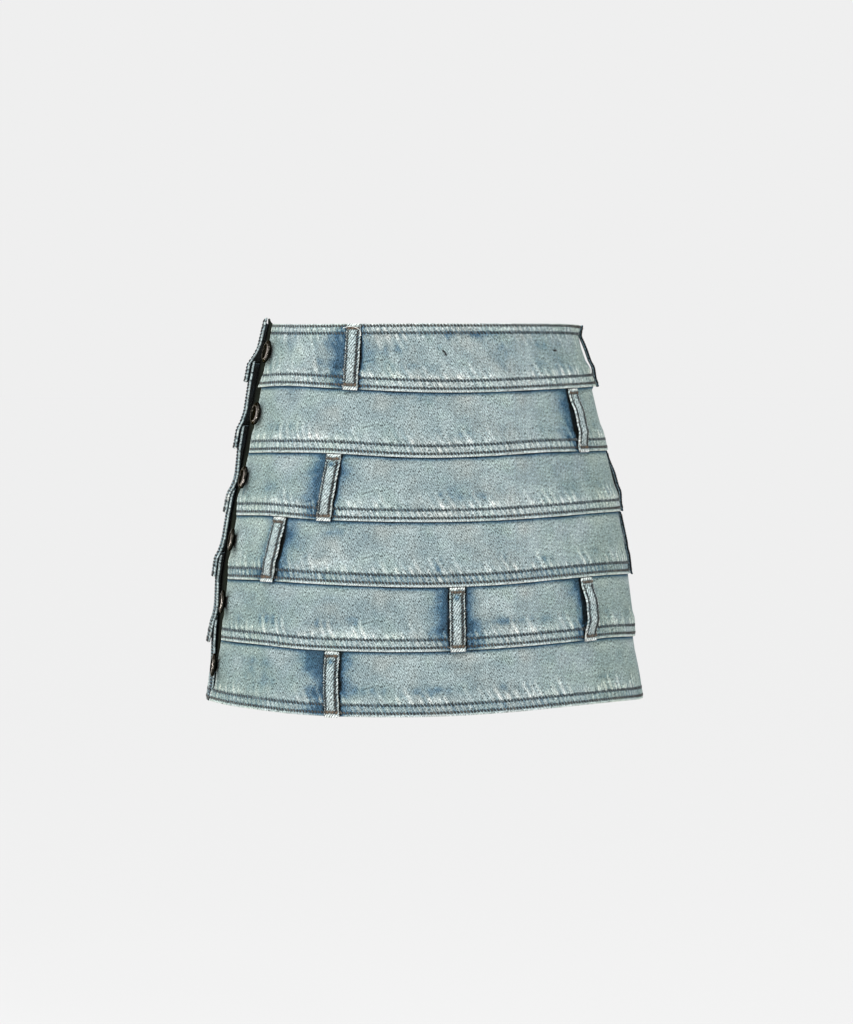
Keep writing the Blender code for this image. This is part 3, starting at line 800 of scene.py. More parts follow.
def volume(points, quads):
    """A closed mesh's volume: the sum of corner . (corner x corner) / 6 over its triangles."""
    total = 0.0
    for a, b, c in ((0, 1, 2), (0, 2, 3)):
        p, q, r = (points[quads[:, i]] for i in (a, b, c))
        total += np.einsum("ij,ij->i", p, np.cross(q, r)).sum() / 6.0
    return total


def strip_object(name, points, run, rise, dye, finish, window=None):
    """A closed object from a grid of points: columns along the strip by places round its section.

    At both ends a place and its mirror on the other face are one vertex. A window (first column, last
    column, lowest place, highest place) leaves a hole through both faces, and quads line its rim.
    """
    columns, around = run.shape
    number = np.arange(columns * around).reshape(columns, around)
    mirror = (-np.arange(around)) % around
    for end in (0, -1):
        number[end] = number[end][np.minimum(np.arange(around), mirror)]
    i, k = (grid.ravel() for grid in np.meshgrid(np.arange(columns - 1), np.arange(around), indexing="ij"))
    lining = np.empty((0, 4), dtype=int)
    if window:
        first, last, low, high = window
        lower = np.minimum(k, around - 1 - k)
        keep = ~((i >= first) & (i < last) & (lower >= low) & (lower < high))
        i, k = i[keep], k[keep]
        across, up = np.arange(first, last), np.arange(low, high)
        rims = (
            (across, low, across + 1, low), (last, up, last, up + 1),
            (across + 1, high, across, high), (first, up + 1, first, up),
        )
        lining = np.concatenate([
            np.stack([number[a, b], number[c, d], number[c, mirror[d]], number[a, mirror[b]]], 1)
            for a, b, c, d in rims
        ])
    after = (k + 1) % around
    quads = np.stack([number[i, k], number[i + 1, k], number[i + 1, after], number[i, after]], 1)
    quads = np.concatenate([quads, lining])
    points, run, rise, dye = points.reshape(-1, 3), run.ravel(), rise.ravel(), dye.ravel()
    if volume(points, quads) < 0:
        quads = quads[:, ::-1]
    used, quads = np.unique(quads, return_inverse=True)
    quads = quads.reshape(-1, 4)
    points, run, rise, dye = points[used], run[used], rise[used], dye[used]
    flat = (quads == np.roll(quads, 1, axis=1)).any(axis=1)
    faces = [list(dict.fromkeys(face)) for face in quads[flat].tolist()] if flat.any() else []
    faces = quads[~flat].tolist() + [face for face in faces if len(face) > 2]
    made = link_mesh(name, points, faces, finish)
    mesh = made.data
    corners = np.empty(len(mesh.loops), dtype=np.int32)
    mesh.loops.foreach_get("vertex_index", corners)
    chart = mesh.uv_layers.new(name="cloth")
    chart.data.foreach_set("uv", np.stack([run[corners], rise[corners]], 1).ravel() * MM)
    set_attribute(mesh, "dye", "FLOAT", dye)
    return made


square = np.array(((0, 0, 0), (1, 0, 0), (1, 1, 0), (0, 1, 0)))
sides = np.array(((0, 3, 2, 1), (4, 5, 6, 7), (0, 1, 5, 4), (1, 2, 6, 5), (2, 3, 7, 6), (3, 0, 4, 7)))
print("a unit cube's volume:", round(volume(np.concatenate([square, square + (0, 0, 1)]), sides), 6))

# %% [markdown]
# ## Washed denim
#
# Denim is cotton twill: blue warp over undyed weft, stepping one thread at each pick, which draws fine
# slanting lines. The warp is dyed with indigo only on its skin, so wear brings back the white core. The
# colour is one ramp from bone through grey teal to indigo and black, read by the dye attribute, and the
# twill, the uneven yarns and a speckle lighten and darken it. The yarns are 0.6 mm apart, and the lines
# are drawn 1.65 mm apart so that they still show from here. Cotton scatters light and has a faint fuzz:
# high roughness, little gloss, a trace of sheen.

# %% The denim's colours and weave
TWILL_SPACING = 1.65  # mm between drawn lines; the real ones are 0.6 mm apart, too fine to show
LOOP_SPACING = 1.12 * TWILL_SPACING  # a little more on the loops, which lean
TWILL_LEAN = math.radians(-32.0)
SLUB = (0.6 * MM, 1.7 * MM, 1.0)  # how wide and how long the thick places of a yarn are
SLUB_LEAN = math.radians(16.0)
WARP_STREAK = (1.7 * MM, 24.0 * MM, 1.0)  # how wide and how long paler and darker groups of warp yarns are
STREAKY = 0.38  # how much the groups of yarns show
PAINTED_SIDE_TINT = 0.22  # how much yellower the sides are
SPECKLE, MOTTLE, DRIFT = 0.0026, 0.019, 0.031  # metres across
# The first ramp goes by metres from centre front, and pushes the second, the drifting tint, to yellowish
# at the sides, as painted light where the cloth turns from the lamps.
PAINTED_SIDE_RAMP = ((0.09, "#000000"), (0.16, "#ffffff"), (0.27, "#ffffff"), (0.33, "#000000"))
TINT_RAMP = ((0.34, "#fff8f4"), (0.52, "#ffffff"), (0.72, "#fcfff7"), (0.9, "#fffff2"))
DENIM_RAMP = (
    # dye, colour
    (0.00, "#d8deda"),
    (0.20, "#b9c4c3"),
    (0.34, "#a1afb0"),
    (0.45, "#8d9d9f"),
    (0.53, "#7d8f93"),
    (0.62, "#68808c"),
    (0.78, "#415f75"),
    (0.90, "#283a47"),
    (1.00, "#0a0d0b"),
)


print(len(DENIM_RAMP), "colours of denim, and twill lines", TWILL_SPACING, "mm apart")

# %% [markdown]
# The recipe reads the cloth's own millimetres from its UV map, so the weave follows each strip round the
# body. Five noises of different sizes make the yarns, the streaks, the speckle, the mottle and the drift
# of the tint.

# %% The recipe for denim
def push(tree, total, total_output, noise, noise_output, amount):
    """total + amount x (noise - 0.5), as one multiply-add of the noise with the shifted total."""
    links = [(0, total, total_output), (1, 0.5 * amount)]
    shifted = add(tree, "ShaderNodeMath", links, operation="SUBTRACT")
    links = [(0, noise, noise_output), (1, amount), (2, shifted, 0)]
    return add(tree, "ShaderNodeMath", links, operation="MULTIPLY_ADD")


def denim(name, stops, spacing, twill_amount, wander, yarn_amount, speckle_amount, mottle_amount, gloss=0.1):
    """Washed cotton twill: the dye and a mottle read the colour ramp, and the yarns lighten and darken it.

    Colour = tint x ramp(dye + mottle) x (1 + twill + yarn + speckle + streaks), each pattern counted from
    its middle. The tint drifts from warm to yellowish, and is pushed to yellowish at the sides of the skirt
    as painted light, where the cloth turns from the lamps.
    """
    made, tree = new_material(name)
    chart = add(tree, "ShaderNodeUVMap", uv_map="cloth")
    turned = add(tree, "ShaderNodeMapping", [("Vector", chart, 0), ("Rotation", (0.0, 0.0, TWILL_LEAN))])
    twill = add(
        tree, "ShaderNodeTexWave",
        [("Vector", turned, 0), ("Scale", 2 * math.pi / (20 * spacing * MM)), ("Distortion", wander),
         ("Detail", 2.0), ("Detail Scale", 1.4)],
        wave_type="BANDS", bands_direction="X",
    )
    slubs, groups = (
        add(
            tree, "ShaderNodeMapping",
            [("Vector", chart, 0), ("Rotation", (0.0, 0.0, lean)), ("Scale", size)],
            vector_type="TEXTURE",
        )
        for lean, size in ((SLUB_LEAN, SLUB), (0.0, WARP_STREAK))
    )
    yarn, streaks, speckle, mottle, drift = (
        add(tree, "ShaderNodeTexNoise", [("Vector", vector, 0), ("Scale", scale), ("Detail", detail)])
        for vector, scale, detail in (
            (slubs, 1.0, 1.0), (groups, 1.0, 1.0),
            (chart, 1 / SPECKLE, 2.0), (chart, 1 / MOTTLE, 3.0), (chart, 1 / DRIFT, 2.0),
        )
    )
    dye = add(tree, "ShaderNodeAttribute", attribute_name="dye")
    dyed = push(tree, dye, "Fac", mottle, "Fac", mottle_amount)
    ramp = add(tree, "ShaderNodeValToRGB", [("Fac", dyed, 0)], stops)
    least, most = 1 - twill_amount / 2, 1 + twill_amount / 2
    grain = add(tree, "ShaderNodeMapRange", [("Value", twill, "Fac"), ("To Min", least), ("To Max", most)])
    for pattern, amount in ((yarn, yarn_amount), (speckle, speckle_amount), (streaks, STREAKY)):
        grain = push(tree, grain, 0, pattern, "Fac", amount)
    place = add(tree, "ShaderNodeSeparateXYZ", [("Vector", chart, 0)])
    from_front = add(tree, "ShaderNodeMath", [(0, place, "X")], operation="ABSOLUTE")
    # Painted light: the sides, turning from the lamps, get a yellower tint.
    painted_sides = add(tree, "ShaderNodeValToRGB", [("Fac", from_front, 0)], PAINTED_SIDE_RAMP)
    links = [(0, painted_sides, 0), (1, PAINTED_SIDE_TINT), (2, drift, "Fac")]
    hue = add(tree, "ShaderNodeMath", links, operation="MULTIPLY_ADD")
    tint = add(tree, "ShaderNodeValToRGB", [("Fac", hue, 0)], TINT_RAMP)
    times = {"data_type": "RGBA", "blend_type": "MULTIPLY"}
    toned = add(tree, "ShaderNodeMix", [(0, 1.0), (6, ramp, 0), (7, tint, 0)], **times)
    woven = add(tree, "ShaderNodeMix", [(0, 1.0), (6, toned, 2), (7, grain, 0)], clamp_result=True, **times)
    bump = add(tree, "ShaderNodeBump", [("Height", grain, 0), ("Distance", 0.18 * MM), ("Strength", 0.3)])
    shader = add(
        tree, "ShaderNodeBsdfPrincipled",
        [("Base Color", woven, 2), ("Normal", bump, 0), ("Roughness", 0.92), ("Specular IOR Level", gloss),
         ("Sheen Weight", 0.02), ("Sheen Roughness", 0.5)],
    )
    add(tree, "ShaderNodeOutputMaterial", [("Surface", shader, 0)])
    return made


washed_denim = denim("stone_washed_denim", DENIM_RAMP, TWILL_SPACING, 0.36, 2.6, 3.9, 0.9, 0.19)
loop_denim = denim("bleached_loop_denim", DENIM_RAMP, LOOP_SPACING, 1.05, 0.9, 4.2, 2.0, 0.2)
print("washed denim:", len(washed_denim.node_tree.nodes), "nodes")

# %% [markdown]
# ## Free edges, buttons and buttonholes
#
# The front tiers end in a free edge, where each is buttoned to the stand. A jeans button's tack lifts the
# cloth round it to a small tent. As the button is tilted, its shank goes through the cloth a little
# beside the middle of its head, and the buttonhole lies there.

# %% Where the buttons and their holes are
BUTTONS = (
    # tier, angle, height, turn, stand_off
    (1, -64.5, -23.9, 15.5, 3.0),
    (2, -64.6, -75.4, 11.0, 3.2),
    (3, -65.4, -128.6, 15.0, 3.2),
    (4, -65.1, -180.7, 23.0, 4.2),
    (5, -66.0, -232.1, 23.0, 4.8),
    (6, -68.4, -285.5, 20.0, 5.2),
)
HOLE_HALF_HEIGHT = 2.9
HOLE_LENGTH = 6.0


def front_edge(tier, level):
    """The angle of a front tier's free edge at a level, straight between three rows of the table."""
    return np.interp(np.maximum(level - (tier - 1), 0.0), (0.0, ABOVE_HEM, 1.0), FRONT_EDGE[tier - 1])


def button_rise(tier):
    angle, height = BUTTONS[tier - 1][1:3]
    return float(height - height_at(float(tier), angle))


def button_tent(tier, run, rise):
    """How far a button's tack draws the cloth up, in mm: a bell 7.5 mm wide, as high as the tack stands off.

    It leans with the button: towards centre front it rises by the tangent of the turn.
    """
    angle, _, turn, stand_off = BUTTONS[tier - 1][1:]
    ahead = run - run_of(tier, angle)
    rising = np.clip(ahead, 0.0, 6.0) * math.tan(math.radians(turn))
    return (stand_off - 1.4 + 0.8 * rising) * hill(ahead - 3.0, 7.5) * hill(rise - button_rise(tier), 7.5)


def hole_run(tier):
    """Where a buttonhole's middle is: below the head, which its tilt carries towards centre front."""
    angle, _, turn, stand_off = BUTTONS[tier - 1][1:]
    return run_of(tier, angle) - 0.8 * stand_off * math.tan(math.radians(turn))


print("buttons above their hems:", [round(button_rise(tier)) for tier in range(1, TIERS + 1)], "mm")

# %% [markdown]
# ## The twelve tiers
#
# Points are closest together where the cloth is busiest: every 1 to 2 mm over the hem and its gathers,
# and 4 to 8 mm apart in the quiet middle. The front tiers have a worked buttonhole, left open as a window
# in the mesh.

# %% Making the tiers
STRIP_STEP = 1.35  # mm from column to column
LOW_ROWS = (
    1.8, 2.6, 3.2, 3.8, 4.6, 5.6, 6.6, 7.6, 8.5, 9.1, 9.6, 10.2, 11.0, 12.2, 13.6, 15.2, 17.0, 19.2, 21.6,
)
HOLE_CLEAR = 5.2  # rows this far above and below its middle too
MIDDLE_RISE = 30.0  # where those rows lie on a tier that has no hole
INSIDE_SHADE_REACH = 70.0  # how far in from the opening the inner face is painted black, as shade inside the opening
INSIDE_DYE = 0.24


def held_at(value):
    """A line that does not wander: one angle at every level, or one height at every angle."""
    return lambda place: value + 0.0 * place


def high_rows(tier):
    """Rows below the top, as distances from it. Only the waist's own are close together."""
    if tier == 1:
        return (16.0, 14.0, 12.0, 10.2, 8.8, 8.2, 7.6, 7.0, 6.0, 4.8, 3.6, 2.6, 1.8, 1.4)
    return (29.0, 26.0, 23.5, 21.5, 19.8, 18.6, 17.4, 12.0, 6.0)


def make_tier(name, tier, first_edge, last_edge, button=None):
    """One tier's strip between two edges, each an angle for every level."""
    run_first, run_last = (run_of(tier, edge(tier - 0.5)) for edge in (first_edge, last_edge))
    distance, thick = along_strip(run_last - run_first, STRIP_STEP)
    middle_angle = angle_of(tier, run_first + distance)
    share_along = (middle_angle - middle_angle[0]) / (middle_angle[-1] - middle_angle[0])
    at_hole = button or MIDDLE_RISE
    hole_rows = [at_hole + step for step in (-HOLE_CLEAR, -HOLE_HALF_HEIGHT, HOLE_HALF_HEIGHT, HOLE_CLEAR)]
    share, offset, side = wall_section((*LOW_ROWS, *hole_rows), high_rows(tier))
    height = shown_height(tier, middle_angle) + hidden_height(tier, middle_angle)
    rise = share[None] * height[:, None] + offset[None]
    level = level_of(tier, rise, middle_angle[:, None])
    angle = between(first_edge(level), last_edge(level), share_along[:, None])
    run = run_of(tier, angle)
    relief = tier_form(tier, run, rise, angle)[0] * np.clip(side, 0.0, 1.0)[None] * thick[:, None]
    tent = button_tent(tier, run, rise) if button else 0.0
    out = -HALF + HALF * side[None] * thick[:, None] + relief + tent
    points = tier_point(tier, level, angle, out)
    edge = np.minimum(distance, distance[-1] - distance)[:, None]
    dye = tier_dye(tier, run, rise, angle, edge)
    to_opening = run_of(tier, BACK_EDGE) - run
    # Painted shade: the inner face darkens to black towards the opening, where it lies in shadow.
    painted_inside_shade = smooth((INSIDE_SHADE_REACH - to_opening) / 4.0) * smooth(to_opening / 0.3)
    inside = INSIDE_DYE + 0.05 * cloud(run, rise, 12.0, 5) + (1.0 - INSIDE_DYE) * painted_inside_shade
    # Painted shade: a dark band on the outer face a few millimetres in from the back's loose edge.
    dye = dye + 0.42 * hill(to_opening - 3.4, 2.5) * (side[None] > 0)
    dye = np.where(side[None] < -0.6, inside, dye)
    window = None
    if button:
        ends = hole_run(tier) - run_first + HOLE_LENGTH * np.array((-0.5, 0.5))
        first, last = (int(np.argmin(abs(distance - end))) for end in ends)
        not_low = (share > 0) | (side < 1)
        low_place = int(np.argmin(abs(offset - (button - HOLE_HALF_HEIGHT)) + 99 * not_low))
        window = (first, last, low_place, low_place + 1)
    return strip_object(name, points, run, rise, dye, washed_denim, window)


tiers = {}
for tier in range(1, TIERS + 1):
    tiers["front", tier] = make_tier(
        f"washed_front_tier_{tier}", tier, lambda level, t=tier: front_edge(t, level),
        held_at(SIDE_SEAM + SEAM_OVERLAP), button_rise(tier),
    )
    tiers["back", tier] = make_tier(
        f"washed_back_tier_{tier}", tier, held_at(SIDE_SEAM - SEAM_OVERLAP), held_at(BACK_EDGE),
    )
print("tiers:", sum(triangles(thing) for thing in tiers.values()), "triangles")

# %% [markdown]
# ## Thread
#
# A topstitch is a short bead of thread that comes up out of one hole and goes down the next. There are
# about five thousand on the skirt, so each is a five-sided grain of rice with twenty triangles, and each
# seam's stitches are one mesh. Each takes its colour from an attribute, because a wash never fades two
# stitches alike.

# %% Making stitches
GRAIN_SIDES = 5


def stitches(name, centres, along, outward, length, width, height, colours, finish):
    """One grain for each stitch: tips at half its length, sunk, and two rings of five points at a quarter.

    A ring's point is across x width / 2 x sin a + outward x height / 2 x cos a.
    """
    count = len(centres)
    length, width, height = (np.broadcast_to(size, count)[:, None, None] for size in (length, width, height))
    along = along[:, None] * length
    outward, across = outward[:, None], np.cross(outward, unit(along[:, 0]))[:, None]
    turn = np.arange(GRAIN_SIDES) * 2 * math.pi / GRAIN_SIDES
    ring = slanted(outward * height / 2, across * width / 2, turn[None, :, None])
    middle = centres[:, None]
    points = np.concatenate([
        middle - along / 2 - outward * height * 0.4,
        middle - along * 0.27 + ring,
        middle + along * 0.27 + ring,
        middle + along / 2 - outward * height * 0.4,
    ], axis=1)
    one = np.arange(GRAIN_SIDES)
    two = (one + 1) % GRAIN_SIDES
    last = 2 * GRAIN_SIDES + 1
    grain = np.concatenate([
        np.stack([0 * one, 1 + two, 1 + one], 1),
        np.stack([1 + one, 1 + two, 1 + GRAIN_SIDES + two], 1),
        np.stack([1 + one, 1 + GRAIN_SIDES + two, 1 + GRAIN_SIDES + one], 1),
        np.stack([1 + GRAIN_SIDES + one, 1 + GRAIN_SIDES + two, 0 * one + last], 1),
    ])
    per = last + 1
    faces = (grain[None] + per * np.arange(count)[:, None, None]).reshape(-1, 3)
    made = link_mesh(name, points.reshape(-1, 3), faces.tolist(), finish)
    rgba = np.concatenate([colours, np.ones((count, 1))], 1)
    set_attribute(made.data, "thread", "FLOAT_COLOR", np.repeat(rgba, per, axis=0))
    return made


def thread_colours(count, hexes, spread, seed):
    """A random one of some colours for each stitch, brighter or darker by up to the spread."""
    rng = np.random.default_rng(seed)
    palette = np.stack([linear(colour) for colour in hexes])
    return palette[rng.integers(0, len(palette), count)] * rng.uniform(1 - spread, 1 + spread, (count, 1))


print("each stitch has", 4 * GRAIN_SIDES, "triangles")

# %% [markdown]
# The thread is core spun, which is polyester in a cotton wrap. It is slightly glossy, so each stitch has a
# small soft highlight.

# %% The thread's material
thread, tree = new_material("core_spun_topstitch_thread")
colour = add(tree, "ShaderNodeAttribute", attribute_name="thread")
shader = add(
    tree, "ShaderNodeBsdfPrincipled",
    [("Base Color", colour, "Color"), ("Roughness", 0.6), ("Specular IOR Level", 0.35),
     ("Sheen Weight", 0.1)],
)
add(tree, "ShaderNodeOutputMaterial", [("Surface", shader, 0)])
print("thread:", len(tree.nodes), "nodes")

# %% [markdown]
# ## Two rows on every lower edge
#
# Twin needles sew 6.4 mm apart. The stitches lean like a row of backslashes, because a lockstitch twists
# a thick thread. They are spaced along their own row, so that the pitch stays true round the wide hem and
# the narrow waist alike.

# %% Rows of stitches
PITCH = 2.75
STITCH_LEAN = math.radians(50.0)
NEAR_STITCH, FAR_STITCH = (3.7, 1.6, 0.9), (4.3, 1.6, 0.9)  # length, width, height
CORNER_ROWS = ((1.7, 2.0), (8.4, 1.2))  # how far in, how high the stitches stand
HOLE_STITCHES, HOLE_RADIUS = 26, 3.9
CHARCOAL = ("#293133", "#3a4346", "#525b5d", "#2f373a")
SOOT = ("#0d0f0f", "#171a1a", "#101211")
LOOSE_ENDS = (
    # tier, run, rise, length, lean
    (1, 17.0, 33.5, 3.4, -38.0), (1, 18.6, 31.2, 3.4, -68.0), (1, 119.0, 31.5, 5.4, 2.0),
    (3, 452.0, 30.0, 4.0, 25.0),
)
BROWN_BLACK = ("#303131", "#3f403d", "#2e3031", "#4e4c47")


def sewn_row(tier, rise, first, last, pitch, lean):
    """Centres and axes of stitches, equally spaced by length along a row between two angles."""
    angles = np.linspace(first, last, 1500)
    length = distances(tier_point(tier, level_of(tier, rise(angles), angles), angles))
    count = int(length[-1] // pitch)
    angle = np.interp((np.arange(count) + 0.5) * length[-1] / count, length, angles)
    centres, along, up, outward = on_cloth(tier, rise(angle), angle, -0.12)
    return centres, slanted(along, up, -lean), outward


def edge_angle(tier, rise, margin):
    """The angle some millimetres inside a front tier's free edge."""
    level = float(level_of(tier, rise, -70.0))
    return float(angle_of(tier, run_of(tier, front_edge(tier, level)) + margin))


def corner_row(tier, inset):
    """Stitches down a back tier's loose end, some mm in from its edge, and on up where it is hidden."""
    angle = float(angle_of(tier, run_of(tier, BACK_EDGE) - inset))
    height = float(shown_height(tier, angle) + 0.9 * hidden_height(tier, np.array(angle)))
    rise = np.arange(1.5, height - 1.0, PITCH)
    centres, along, up, outward = on_cloth(tier, rise, np.full_like(rise, angle), -0.05)
    return centres, slanted(up, along, 0.4), outward


def hole_ring(tier):
    """The stitches of a worked buttonhole: a circle of them, each pointing at its middle."""
    turn = np.arange(HOLE_STITCHES) * 2 * math.pi / HOLE_STITCHES
    run, rise = hole_run(tier) + HOLE_RADIUS * np.cos(turn), button_rise(tier) + HOLE_RADIUS * np.sin(turn)
    tent = button_tent(tier, run, rise)
    centres, along, up, outward = on_cloth(tier, rise, angle_of(tier, run), tent - 0.1)
    return centres, slanted(along, up, turn[:, None]), outward


def loose_ends(tier):
    """Snipped thread ends that cling to the cloth: one stitch each, turned by a lean in degrees."""
    parts = []
    for of_tier, run, rise, length, lean in LOOSE_ENDS:
        if of_tier == tier:
            centres, along, up, outward = on_cloth(tier, rise, angle_of(tier, np.array([run])), 0.8)
            row = (centres, slanted(along, up, math.radians(lean)), outward)
            parts.append((row, SOOT, (length, 1.4, 0.9)))
    return parts


row = sewn_row(TIERS, held_at(HEM_ROWS[0]), SIDE_SEAM, BACK_EDGE, PITCH, STITCH_LEAN)
print("one row at the back's hem has", len(row[0]), "stitches")

# %% [markdown]
# Each strip's rows become one mesh, with all else that is sewn there: the worked buttonhole and the loose
# ends of a front tier, and two rows down the loose end of a back one.

# %% Sewing the tiers
def sew(name, tier, first, last, rows, more):
    """Both rows of a strip as one mesh, the near one in brown black, and more rows with their own looks."""
    looks = 2 * ((BROWN_BLACK, NEAR_STITCH), (CHARCOAL, FAR_STITCH))
    parts = [
        (sewn_row(tier, rise, first(rise), last, PITCH, STITCH_LEAN), *look)
        for rise, look in zip(rows, looks)
    ] + more
    colours = [
        thread_colours(len(row[0]), hexes, 0.45, 10 * tier + number)
        for number, (row, hexes, size) in enumerate(parts)
    ]
    centres, along, outward = (np.concatenate([row[i] for row, hexes, size in parts]) for i in range(3))
    length, width, height = np.concatenate([np.tile(size, (len(row[0]), 1)) for row, hexes, size in parts]).T
    length = length * np.random.default_rng(tier).uniform(0.85, 1.1, len(centres))
    return stitches(name, centres, along, outward, length, width, height, np.concatenate(colours), thread)


seams = {}
for tier in range(1, TIERS + 1):
    rows = [held_at(row) for row in HEM_ROWS]
    if tier == 1:
        rows += [lambda angle, r=row: shown_height(1, angle) - r for row in WAIST_ROWS]
    seams["front", tier] = sew(
        f"front_stitches_{tier}", tier, lambda rise, t=tier: edge_angle(t, rise(-70.0), 1.0),
        SIDE_SEAM - 0.3, rows, [(hole_ring(tier), BROWN_BLACK, NEAR_STITCH)] + loose_ends(tier),
    )
    seams["back", tier] = sew(
        f"back_stitches_{tier}", tier, lambda rise: SIDE_SEAM + 0.3, BACK_EDGE - 0.4, rows,
        [(corner_row(tier, inset), SOOT, (2.7, 1.7, high)) for inset, high in CORNER_ROWS],
    )
print("seams:", sum(triangles(thing) for thing in seams.values()), "triangles")

# %% [markdown]
# ## Belt loops
#
# A belt loop is a strip folded in three, with a row of stitches down each side and a bar tack across each
# end. The wash has beaten its folded edges white. The mesh is the same flattened tube as a tier's, turned
# so that its long edges are the round ends: the loop's line gives level, angle and stand-off for each
# share of it.

# %% Making the belt loops
LOOP_ROWS = (1.2, 2.2, 3.2, 4.0, 4.8, 5.6, 6.6)
LOOP_MIDDLE = 18
LOOP_STEP = 0.85
SEAM_INSETS = (1.6, 2.2)  # right and left as worn; the folded side is the narrower
TACK_FROM_TOP, TACK_FROM_FOOT = 3.6, 4.4
BLUE_TOPS = ("loop_3_front", "loop_5_front", "loop_6_front", "loop_1_back", "loop_5_back")
# On these side loops the left edge is painted near black, as shade, where it stands off the cloth.
SHADE_PAINTED_EDGES = ("loop_1_left", "loop_3_left", "loop_4_left")


def loop_point(loop, share, across, out):
    """A point of a loop: its line, moved across in mm by an angle of across / (mm per degree), and out."""
    level, middle, off, one_degree = loop_line(loop, share)
    return tier_point(loop[1], level, middle + across / one_degree, off + out)


def loop_length(loop):
    return float(distances(loop_point(loop, np.linspace(0.0, 1.0, 60), 0.0, 0.0))[-1])


def make_belt_loop(number, loop):
    """The strip: edges that waver by 0.25 mm, a puffed middle, and grooves at the seams and bar tacks."""
    length = loop_length(loop)
    distance, thick = along_strip(LOOP_WIDTH, LOOP_STEP)
    share, offset, side = wall_section(LOOP_ROWS, LOOP_ROWS[::-1], LOOP_MIDDLE)
    rise = np.broadcast_to(share * length + offset, (len(distance), len(share)))
    across = (distance - LOOP_WIDTH / 2)[:, None] + 0.0 * rise
    seed = 2000 + 10 * number
    waver = np.where(across < 0, ripple(rise, 3.1, seed), ripple(rise, 2.7, seed + 1))
    edge = LOOP_WIDTH / 2 - abs(across)
    from_top = length - rise
    seam = np.where(across < 0, hill(edge - SEAM_INSETS[0], 0.9), hill(edge - SEAM_INSETS[1], 1.4))
    tack = hill(rise - TACK_FROM_FOOT, 1.2) + hill(from_top - TACK_FROM_TOP, 1.2)
    clear = smooth((rise - 5.0) / 2.5) * smooth((from_top - 4.5) / 2.5)
    rung = ridges(rise + 0.2 * across, 2.7, seed + 2)[0]
    relief = 0.4 * smooth((edge - 2.6) / 2.5) * clear - 0.25 * seam * clear - 0.35 * tack
    relief = relief + 0.16 * (rung - 0.5) * hill(edge - 0.9, 1.2)
    relief = relief * np.clip(side, 0.0, 1.0) * thick[:, None]
    out = -HALF + HALF * side * thick[:, None] + relief
    points = loop_point(loop, 1.0 - rise / length, across + 0.28 * waver, out)
    dye = 0.36 + 0.25 * seam * clear + 0.2 * tack - 0.26 * hill(edge, 0.7) * (0.7 + 0.5 * waver)
    dye = dye - 0.22 * (rung - 0.6) * hill(edge - 0.9, 1.2) + 0.05 * cloud(across, rise, 4.0, seed + 3)
    dye = dye - 0.28 * hill(rise, 2.2) - 0.28 * hill(from_top, 1.9)
    if loop[0] in BLUE_TOPS:
        dye = dye + 0.42 * hill(from_top - 8.2, 2.4) * hill(across + 0.5, 2.6)
    # Painted shade on the left edge of those loops.
    if loop[0] in SHADE_PAINTED_EDGES:
        dye = dye + 0.9 * smooth((0.9 - edge) / 0.5) * (across < 0)
    dye = np.where(side < -0.5, 0.45, np.clip(dye, 0.0, 1.0))
    return strip_object(f"washed_{loop[0]}", points, -across, rise, dye, loop_denim)


belt_loops = [make_belt_loop(number, loop) for number, loop in enumerate(LOOPS)]
print("loops:", sum(map(triangles, belt_loops)), "triangles")

# %% [markdown]
# A loop's two seams, its bar tacks and the short fibres that stick out of its edges are one mesh of the
# same grains as the topstitches, only thinner. On three loops a weft thread has come loose and lies on
# top in an arc.

# %% Sewing the belt loops
LOOP_PITCH, TACK_PITCH, FIBRES = 2.15, 0.62, 32
LOOP_THREAD = ("#232625", "#1b1e1e", "#303230", "#171a1b", "#3c3b37")
TACK_THREAD = ("#565049", "#6b5743", "#3c3834", "#4b463f", "#6a6257")
EDGE_FIBRES = ("#e6e8e2", "#d3dad6", "#f0efe8")
PULLED_THREADS = {
    # loop: (across, below_the_top) of places along a weft thread that came loose
    "loop_1_front": ((-7.6, 3.4), (-2.9, 2.4), (1.2, 2.8), (4.6, 4.2), (6.4, 6.6), (6.8, 9.6)),
    "loop_2_left": ((-6.0, 44.0), (-7.2, 45.5), (-6.9, 47.5), (-6.0, 48.5)),
    "loop_5_left": ((-6.0, 45.5), (-7.2, 47.5), (-7.0, 50.0), (-6.0, 51.5)),
}


def loop_axes(loop, share, across):
    """Up the loop, to its left, and out of it, from points a little to each side."""
    up = unit(loop_point(loop, share - 0.01, across, 0.0) - loop_point(loop, share + 0.01, across, 0.0))
    left = unit(loop_point(loop, share, across + 0.3, 0.0) - loop_point(loop, share, across - 0.3, 0.0))
    return up, left, unit(np.cross(left, up))


